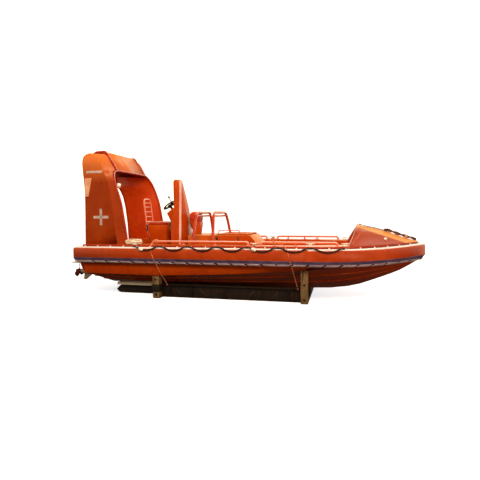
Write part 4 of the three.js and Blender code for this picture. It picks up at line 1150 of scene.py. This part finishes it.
# The hood's side edges, standing in their grooves, painted dark red as shade.
hoodLook = {
    "radius": 0.024, "y": 0.556, "sunk": 0.004,
    "edge": [(-2.930, 1.31), (-2.944, 1.45), (-2.938, 1.57), (-2.912, 1.655), (-2.852, 1.694), (-2.76, 1.698),
             (-2.667, 1.694), (-2.610, 1.612), (-2.552, 1.526), (-2.494, 1.436), (-2.437, 1.346)],
}
for word, side in sides:
    route = [(x, side * hoodLook["y"], z - hoodLook["sunk"]) for x, z in hoodLook["edge"]]
    tubeAlong("tower_hood_trim_" + word, route, hoodLook["radius"], "shade-painted edge trim")


lampLook = {"place": (-2.290, -0.765, 1.050), "along": (0.75, 0.55, -0.2), "radius": 0.040, "length": 0.060}


def smallLamp(name, look):
    radius = look["radius"]
    bpy.ops.mesh.primitive_cylinder_add(vertices=24, radius=radius, depth=look["length"])
    lamp = bpy.context.active_object
    lamp.name = name
    pickTop(lamp)
    bpy.ops.mesh.inset(thickness=radius * 0.22, depth=radius * 0.12)
    bpy.ops.mesh.inset(thickness=radius * 0.12, depth=-radius * 0.25)
    bpy.ops.mesh.inset(thickness=radius * 0.3, depth=radius * 0.2)
    bpy.ops.object.mode_set(mode="OBJECT")
    lamp.matrix_world = standing(atDeck(*look["place"]), look["along"])
    settle(lamp)
    softEdge(lamp, radius * 0.08, 2)
    return lamp


ride(smallLamp("tower_lamp", lampLook), "white plastic", smooth=35)
print("tower dressed")


# Tie-downs from the rails over the fender to the cradle, orange rope pulled taut.
tieLook = {
    "diameter": 0.011,
    "step": 0.009,
    "forward": [(0.600, -0.884, 0.068), (0.598, -0.896, 0.100), (0.578, -0.906, 0.126),
                (0.545, -0.910, 0.136),
                (0.514, -0.906, 0.122), (0.498, -0.902, 0.092), (0.505, -0.918, 0.058),
                (0.540, -0.938, 0.044),
                (0.600, -0.948, 0.046), (0.660, -0.962, 0.040), (0.710, -0.990, 0.026),
                (0.745, -1.026, 0.011),
                (0.770, -1.068, -0.016), (0.795, -1.118, -0.032), (0.812, -1.149, -0.058),
                (0.820, -1.1585, -0.095), (0.832, -1.1590, -0.155), (0.847, -1.1585, -0.218),
                (0.866, -1.112, -0.300), (0.890, -1.038, -0.420), (0.914, -0.964, -0.540),
                (0.938, -0.888, -0.664), (0.944, -0.862, -0.700)],
    "aft": [(-1.500, -0.884, 0.084), (-1.524, -0.896, 0.092), (-1.548, -0.918, 0.078),
            (-1.560, -0.950, 0.056),
            (-1.560, -0.990, 0.028), (-1.548, -1.026, 0.011), (-1.532, -1.068, -0.016),
            (-1.516, -1.118, -0.032),
            (-1.506, -1.149, -0.058), (-1.500, -1.1585, -0.095), (-1.480, -1.1590, -0.155),
            (-1.458, -1.1585, -0.218), (-1.432, -1.106, -0.318), (-1.405, -1.052, -0.424),
            (-1.380, -1.002, -0.522), (-1.360, -0.945, -0.600), (-1.350, -0.880, -0.676),
            (-1.348, -0.862, -0.700)],
    "railKnots": {"forward": (0.552, -0.900, 0.054), "aft": (-1.505, -0.900, 0.054)},
    "footKnotYZ": (-0.845, -0.712),
}


# Turns of rope pulled tight: a knot or a lashing round a bar.
def lashing(name, middle, along, radius, turns, thick, finishName):
    line = []
    turn = Vector(along).to_track_quat("Z", "Y").to_matrix()
    perTurn = 14
    steps = turns * perTurn
    for k in range(steps + 1):
        angle = 2 * math.pi * k / perTurn
        height = (k / steps - 0.5) * turns * thick * 1.02
        place = Vector((radius * math.cos(angle), radius * math.sin(angle), height))
        line.append(atDeck(*middle) + turn @ place)
    return layRope(name, line, thick, finishName)


for word in ("forward", "aft"):
    line = smoothLine([atDeck(*point) for point in tieLook[word]], tieLook["step"])
    rope = layRope("tie_down_" + word, line, tieLook["diameter"], "orange rope")
    foot = (tieLook[word][-1][0], *tieLook["footKnotYZ"])
    knots = [lashing("tie_knot_top_" + word, tieLook["railKnots"][word], (1, 0, 0), 0.0275, 3, 0.014,
                     "orange rope"),
             lashing("tie_knot_foot_" + word, foot, (1, 0, 0), 0.013, 3, 0.010, "weathered rope")]

# The painter: a brown rope doubled and twisted on itself, from the foredeck's ridge to the stem.
painterLook = {
    "diameter": 0.028,
    "thin": 0.012,
    "twist": 0.014,
    "taper": 0.05,
    "step": 0.012,
    "pitch": 0.30,
    "route": [(2.345, 0.0, 0.216), (2.400, 0.0, 0.199), (2.450, 0.0, 0.184), (2.545, 0.0, 0.148),
              (2.620, 0.0, 0.120), (2.690, 0.0, 0.098), (2.760, 0.0, 0.076), (2.815, 0.0, 0.063),
              (2.862, 0.0, 0.053)],
    "ridge": [(1.925, 0.0, 0.3325), (1.955, 0.0, 0.3280), (1.985, 0.002, 0.3120), (2.08, -0.006, 0.2885),
              (2.21, 0.004, 0.2625), (2.30, 0.0, 0.2360), (2.345, 0.002, 0.2230)],
    "ridgeStep": 0.008,
}
ridge = smoothLine([atDeck(*point) for point in painterLook["route"]], painterLook["step"])


def twistedStrand(look, line, phase):
    total = ropeLength(line)
    strand = []
    travel = 0
    for k, point in enumerate(line):
        if k:
            travel += (point - line[k - 1]).length
        ends = min(1.0, travel / look["taper"], (total - travel) / look["taper"])
        angle = 2 * math.pi * travel / look["pitch"] + phase
        reach = look["twist"] * max(0.0, ends)
        lift = look["diameter"] / 2 + look["twist"] * ends
        strand.append(point + Vector((0, reach * math.cos(angle), lift + reach * math.sin(angle))))
    return smoothLine(strand[::2] + [strand[-1]], look["step"])


line = twistedStrand(painterLook, ridge, 0)
painter = layRope("bow_painter", line, painterLook["diameter"], "brown rope")
second = twistedStrand(painterLook, ridge, math.pi)
fall = layRope("bow_painter_fall", second, painterLook["diameter"], "brown rope")
ridgeLine = smoothLine([atDeck(*point) for point in painterLook["ridge"]], painterLook["ridgeStep"])
ridgeRope = layRope("bow_ridge_line", ridgeLine, painterLook["thin"], "dark rope")
knots = [lashing("bow_painter_knot", (2.700, 0.0, 0.116), (0.93, 0, -0.37), 0.030, 3, 0.014, "straw rope"),
         lashing("bow_painter_eye", (2.372, 0.0, 0.224), (0.93, 0, -0.30), 0.018, 4, 0.013, "dark rope"),
         lashing("bow_painter_end", (2.846, 0.0, 0.073), (0.95, 0, -0.25), 0.018, 3, 0.013, "dark rope")]
print("ropes laid")


# Horn cleats on the side decks, with turns of mooring rope on two of them.
def hornCleat(place, along):
    parts = [block((0.070, 0.030, 0.008))]
    for x in (-0.018, 0.018):
        bpy.ops.mesh.primitive_cylinder_add(vertices=14, radius=0.008, depth=0.034, location=(x, 0, 0.018))
        parts.append(bpy.context.active_object)
    bpy.ops.mesh.primitive_uv_sphere_add(segments=18, ring_count=10, radius=1, location=(0, 0, 0.038))
    horn = bpy.context.active_object
    horn.scale = (0.072, 0.011, 0.009)
    bpy.ops.object.transform_apply(location=True, rotation=True, scale=True)
    for vertex in horn.data.vertices:
        vertex.co.z += 0.9 * vertex.co.x ** 2
    parts.append(horn)
    cleat = joined("cleat", parts)
    turn = Matrix.Rotation(along, 4, "Z")
    cleat.data.transform(Matrix.Translation(atDeck(*place)) @ turn)
    softEdge(cleat, 0.002, 2)
    return cleat


cleatLook = {"places": [(-1.90, 0.955, 0.0045), (0.245, 0.965, 0.0045), (1.15, 0.955, 0.0045),
                        (1.690, 0.845, 0.0045)],
             "turns": [0.0, 0.0, -0.12, -0.42],
             "lashed": {"cleat_turns_mid": (0.245, -0.965, 0.024),
                        "cleat_turns_mid_port": (0.245, 0.965, 0.024)}}
for word, side in sides:
    cleats = [hornCleat((x, side * y, z), side * turn)
              for (x, y, z), turn in zip(cleatLook["places"], cleatLook["turns"])]
    ride(joined("cleats_" + word, cleats), "white plastic", smooth=45)


# A racetrack coil that lies flat: turns beside and on each other, a diameter apart.
def flatCoil(name, look, finishName):
    thick = look["thick"]
    layers = look["layers"]
    perLayer = look["turns"] / layers
    perTurn = 36
    turn = Matrix.Rotation(look["heading"], 3, "Z")
    line = []
    for k in range(look["turns"] * perTurn + 1):
        along = k / perTurn
        ring = along / look["turns"] * layers
        layer = min(int(ring), layers - 1)
        share = ring - layer
        spread = share if layer % 2 == 0 else 1 - share
        reach = look["inner"] + thick * 1.04 * spread * perLayer
        # In the last turn of a layer the rope climbs onto it.
        climb = max(0.0, share * perLayer - perLayer + 1) if layer < layers - 1 else 0.0
        height = thick / 2 + thick * 0.98 * (layer + climb)
        angle = 2 * math.pi * along
        straight = math.copysign(look["runs"] / 2, math.cos(angle)) * min(1, abs(math.cos(angle)) * 3)
        stray = thick * math.sin(1.7 * int(along)) * min(layer, 1)
        loose = thick * layer * 0.7 * math.sin(angle + 2.1 * int(along))
        line.append(atDeck(*look["middle"]) + turn @ Vector((reach * math.cos(angle) + straight + stray,
                                                             reach * math.sin(angle),
                                                             height + max(0.0, loose))))
    line = smoothLine(line, thick * 0.6)
    return layRope(name, line, thick, finishName), line


coilLook = {"thick": 0.015, "middle": (-1.955, -0.885, 0.001), "heading": 0.06, "runs": 0.17, "inner": 0.036,
            "turns": 8, "layers": 4}
coil, line = flatCoil("mooring_rope_aft", coilLook, "bleached rope")
for name, place in cleatLook["lashed"].items():
    lashing(name, place, (0, 0, 1), 0.028, 3, 0.011, "straw rope")
print("deck ropes laid")


# Welt round the top of the helm cushion.
weltLook = {"x": (-2.045, -1.598), "half": 0.229, "z": 0.378, "corner": 0.03, "radius": 0.0055, "step": 0.01}


def weltRoute(look):
    x0, x1 = look["x"]
    corner = look["corner"]
    inner = look["half"] - corner
    route = []
    for middleX, middleY, start in ((x1 - corner, inner, 0), (x0 + corner, inner, 90),
                                    (x0 + corner, -inner, 180), (x1 - corner, -inner, 270)):
        for k in range(5):
            angle = math.radians(start + 22.5 * k)
            route.append((middleX + corner * math.cos(angle), middleY + corner * math.sin(angle), look["z"]))
    return route + [route[0]]


tubeAlong("helm_cushion_welt", weltRoute(weltLook), weltLook["radius"], "pale piping", step=weltLook["step"])


# Round flanges under the rails, screwed to the side decks.
railLook = {
    "y": 0.900, "lift": 0.0006, "radius": 0.036, "thick": 0.005, "bore": 0.021,
    "screws": 3, "screwRing": 0.0285, "screwRadius": 0.0038, "screwHeight": 0.0022,
    "feet": [-1.580, -1.010, -0.440, 0.130, 0.350, 0.568, 0.905, 1.566],
}


def flange(place, radius, thick, bore):
    bpy.ops.mesh.primitive_cylinder_add(vertices=28, radius=radius, depth=thick,
                                        location=place + Vector((0, 0, thick / 2)))
    plate = bpy.context.active_object
    pickTop(plate)
    bpy.ops.mesh.inset(thickness=(radius - bore) * 0.6, depth=0)
    bpy.ops.mesh.inset(thickness=(radius - bore) * 0.3, depth=thick * 0.7)
    bpy.ops.object.mode_set(mode="OBJECT")
    softEdge(plate, thick * 0.2, 2)
    return settle(plate)


for word, side in sides:
    feet = [atDeck(x, side * railLook["y"], railLook["lift"]) for x in railLook["feet"]]
    plates = [flange(foot, railLook["radius"], railLook["thick"], railLook["bore"]) for foot in feet]
    ride(joined("rail_flanges_" + word, plates), "powder coated tube", smooth=40)
    places = []
    for foot in feet:
        for k in range(railLook["screws"]):
            angle = 2 * math.pi * (k + 0.5) / railLook["screws"]
            spot = Vector((math.cos(angle), math.sin(angle), 0)) * railLook["screwRing"]
            places.append((foot + spot + Vector((0, 0, railLook["thick"])), (0, 0, 1)))
    screwHeads("rail_screws_" + word, places, railLook["screwRadius"], railLook["screwHeight"],
               "stainless steel")

# Over-centre latches of the engine casing.
latchLook = {"places": [-0.558, -0.167], "z": 0.112, "y": 0.400}


def latch(x, side):
    plate = block((0.024, 0.004, 0.050))
    lever = block((0.015, 0.012, 0.036), (0, side * 0.011, 0.004))
    for vertex in lever.data.vertices:
        if vertex.co.z < 0:
            vertex.co.y += side * 0.010
    bpy.ops.mesh.primitive_cylinder_add(vertices=12, radius=0.005, depth=0.028,
                                        location=(0, side * 0.010, 0.020), rotation=(0, math.pi / 2, 0))
    pin = bpy.context.active_object
    whole = joined("latch", [plate, lever, pin])
    place = atDeck(x, side * (latchLook["y"] + 0.0026), latchLook["z"] - 0.030)
    whole.data.transform(Matrix.Translation(place))
    softEdge(whole, 0.0018, 2)
    return whole


for word, side in sides:
    ride(joined("casing_latches_" + word, [latch(x, side) for x in latchLook["places"]]),
         "worn steel", smooth=40)

# Anti-slip ribs on the engine lid.
ribLook = {"count": 7, "firstY": -0.255, "apart": 0.085, "x": -0.285, "z": 0.1655,
           "size": (0.44, 0.016, 0.005)}
lidRibs = []
for k in range(ribLook["count"]):
    rib = block(ribLook["size"], atDeck(ribLook["x"], ribLook["firstY"] + ribLook["apart"] * k, ribLook["z"]))
    softEdge(rib, 0.0018, 2)
    lidRibs.append(rib)
ride(joined("engine_lid_ribs", lidRibs), "upper moulding gelcoat", "engine_hatch", smooth=40)

# The webbing strap that hangs from the helm backrest.
strapLook = {"route": [(-2.062, 0.330), (-2.040, 0.318), (-2.030, 0.290), (-2.034, 0.255), (-2.046, 0.225),
                       (-2.044, 0.198)], "y": -0.176, "wide": 0.045, "thick": 0.004}


def webbing(name, route, y, wide, thick):
    line = smoothLine([atDeck(x, y, z) for x, z in route], 0.012)
    bpy.ops.mesh.primitive_grid_add(x_subdivisions=len(line) - 1, y_subdivisions=2, size=1)
    strap = bpy.context.active_object
    strap.name = name
    for vertex in strap.data.vertices:
        k = round((vertex.co.x + 0.5) * (len(line) - 1))
        across = vertex.co.y * wide
        vertex.co = line[k] + Vector((0, across, 0))
    addModifier(strap, "SOLIDIFY", {"thickness": thick, "offset": 0})
    softEdge(strap, 0.001, 1)
    return strap


strap = webbing("helm_seat_strap", strapLook["route"], strapLook["y"], strapLook["wide"], strapLook["thick"])
ride(strap, "slate webbing", smooth=50)

# Cradle: plate stiffeners and slanted flats on the side beams, bolts through the posts, plank nails.
cradleLook = {
    "flats": [((-0.744, -0.790), (-0.615, -0.902)), ((0.219, -0.773), (0.112, -0.882)),
              ((-1.20, -0.780), (-1.09, -0.895)), ((0.62, -0.775), (0.52, -0.885))],
    "flatWide": 0.016, "flatThick": 0.008, "flatY": 0.8095,
    "stiffeners": [-1.30, -0.90, -0.30, 0.35, 0.80],
    "stiffenerSize": (0.008, 0.036, 0.196), "stiffenerYZ": (0.826, -0.8175),
    "bolts": [(-1.4925, 1.0005, -0.86), (-1.4925, 1.0005, -0.60), (1.0575, 0.9655, -0.86),
              (1.0575, 0.9655, -0.62)],
    "clamp": (-1.4925, 0.942, -0.750), "clampSize": (0.143, 0.134, 0.130),
    "nailsX": (-2.32, -1.72), "nailsY": (0.52, 0.60, 0.66), "nailsZ": -0.7185,
}


def beamFlat(start, end, side, look):
    middle = ((start[0] + end[0]) / 2, (start[1] + end[1]) / 2)
    length = math.hypot(end[0] - start[0], end[1] - start[1])
    flat = block((length, look["flatThick"], look["flatWide"]))
    slope = math.atan2(end[1] - start[1], end[0] - start[0])
    flat.data.transform(Matrix.Translation(atDeck(middle[0], side * look["flatY"], middle[1]))
                        @ Matrix.Rotation(-slope, 4, "Y"))
    softEdge(flat, 0.0015, 2)
    return flat


for word, side in sides:
    flats = [beamFlat(start, end, side, cradleLook) for start, end in cradleLook["flats"]]
    ride(joined("cradle_flats_" + word, flats), "dull steel", smooth=40)
    stiffeners = []
    for x in cradleLook["stiffeners"]:
        y, z = cradleLook["stiffenerYZ"]
        plate = block(cradleLook["stiffenerSize"], atDeck(x, side * y, z))
        softEdge(plate, 0.001, 1)
        stiffeners.append(plate)
    ride(joined("cradle_stiffeners_" + word, stiffeners), "old black paint on steel", smooth=40)
    places = [(atDeck(x, side * y, z), (0, side, 0)) for x, y, z in cradleLook["bolts"]]
    screwHeads("cradle_bolts_" + word, places, 0.017, 0.012, "old black paint on steel")
    x, y, z = cradleLook["clamp"]
    clamp = block(cradleLook["clampSize"], atDeck(x, side * y, z))
    clamp.name = "cradle_clamp_" + word
    softEdge(clamp, 0.003, 2)
    ride(clamp, "old black paint on steel", smooth=40)
    nails = [(atDeck(x, side * y, cradleLook["nailsZ"]), (0, 0, 1))
             for x in cradleLook["nailsX"] for y in cradleLook["nailsY"]]
    screwHeads("plank_nails_" + word, nails, 0.006, 0.002, "worn steel")


# Where a line meets a finished piece, and which way its face looks there. Lines that miss are left out.
def touched(pieceName, rays):
    hits = [bpy.data.objects[pieceName].ray_cast(Vector(start), Vector(along)) for start, along in rays]
    return [(place, normal) for hit, place, normal, _ in hits if hit]


# Bolts round the transom shield and on the drive's covers.
driveLook = {
    "shield": [(0.155, 0.44), (0.165, 0.58), (0.155, 0.72), (0.06, 0.76), (0.06, 0.40)],
    "covers": [(-2.79, 0.66), (-2.88, 0.62), (-2.96, 0.52), (-3.02, 0.40), (-3.08, 0.33)],
}
rays = [((-3.0, side * y, z), (1, 0, 0)) for y, z in driveLook["shield"] for side in (-1, 1)]
places = touched("transom_shield_moulded", rays)
screwHeads("transom_shield_bolts", places, 0.009, 0.007, "stainless steel", bodyOf("transom_shield"))
rays = [((x, side * 0.5, z), (0, -side, 0)) for x, z in driveLook["covers"] for side in (-1, 1)]
places = touched("drive_leg_moulded", rays)
screwHeads("drive_cover_bolts", places, 0.0065, 0.005, "stainless steel", "drive")
print("drive bolts:", len(places))


# The engine under the lid: rocker cover with cooling ribs, filler cap, intake and filter.
engineLook = {"middle": (-0.03, 0.0), "top": 0.970, "long": 0.56, "wide": 0.17, "high": 0.045, "ribs": 9}


def engineBox(size, place, radius):
    item = block(size, place)
    softEdge(item, radius, 3)
    return item


def enginePipe(radius, length, place, along):
    bpy.ops.mesh.primitive_cylinder_add(vertices=28, radius=radius, depth=length)
    pipe = bpy.context.active_object
    pipe.matrix_world = standing(place, along)
    settle(pipe)
    softEdge(pipe, radius * 0.14, 2)
    return pipe


x, y = engineLook["middle"]
top = engineLook["top"]
cover = [engineBox((engineLook["long"], engineLook["wide"], engineLook["high"]),
                   (x, y, top + engineLook["high"] / 2 - 0.001), 0.010)]
for k in range(engineLook["ribs"]):
    cover.append(engineBox((0.010, engineLook["wide"] * 0.8, 0.012),
                           (x + engineLook["long"] * (k / (engineLook["ribs"] - 1) - 0.5) * 0.86, y,
                            top + engineLook["high"] + 0.004), 0.003))
ride(joined("engine_rocker_cover", cover), "engine enamel", smooth=35)
ride(joined("engine_caps", [enginePipe(0.024, 0.022, (x + 0.31, y + 0.06, top + 0.010), (0, 0, 1)),
                            enginePipe(0.018, 0.018, (x - 0.33, y - 0.08, top + 0.008), (0, 0, 1))]),
     "black grip rubber", smooth=35)
intake = [enginePipe(0.026, 0.52, (x, y + 0.165, top + 0.024), (1, 0, 0))]
for k in range(4):
    intake.append(enginePipe(0.017, 0.075, (x + 0.13 * (k - 1.5), y + 0.125, top + 0.026), (0, 1, 0)))
intake.append(enginePipe(0.040, 0.11, (x + 0.05, y - 0.190, top + 0.026 - 0.070), (0, 0, 1)))
ride(joined("engine_intake", intake), "drive enamel", smooth=35)
print("fittings placed")
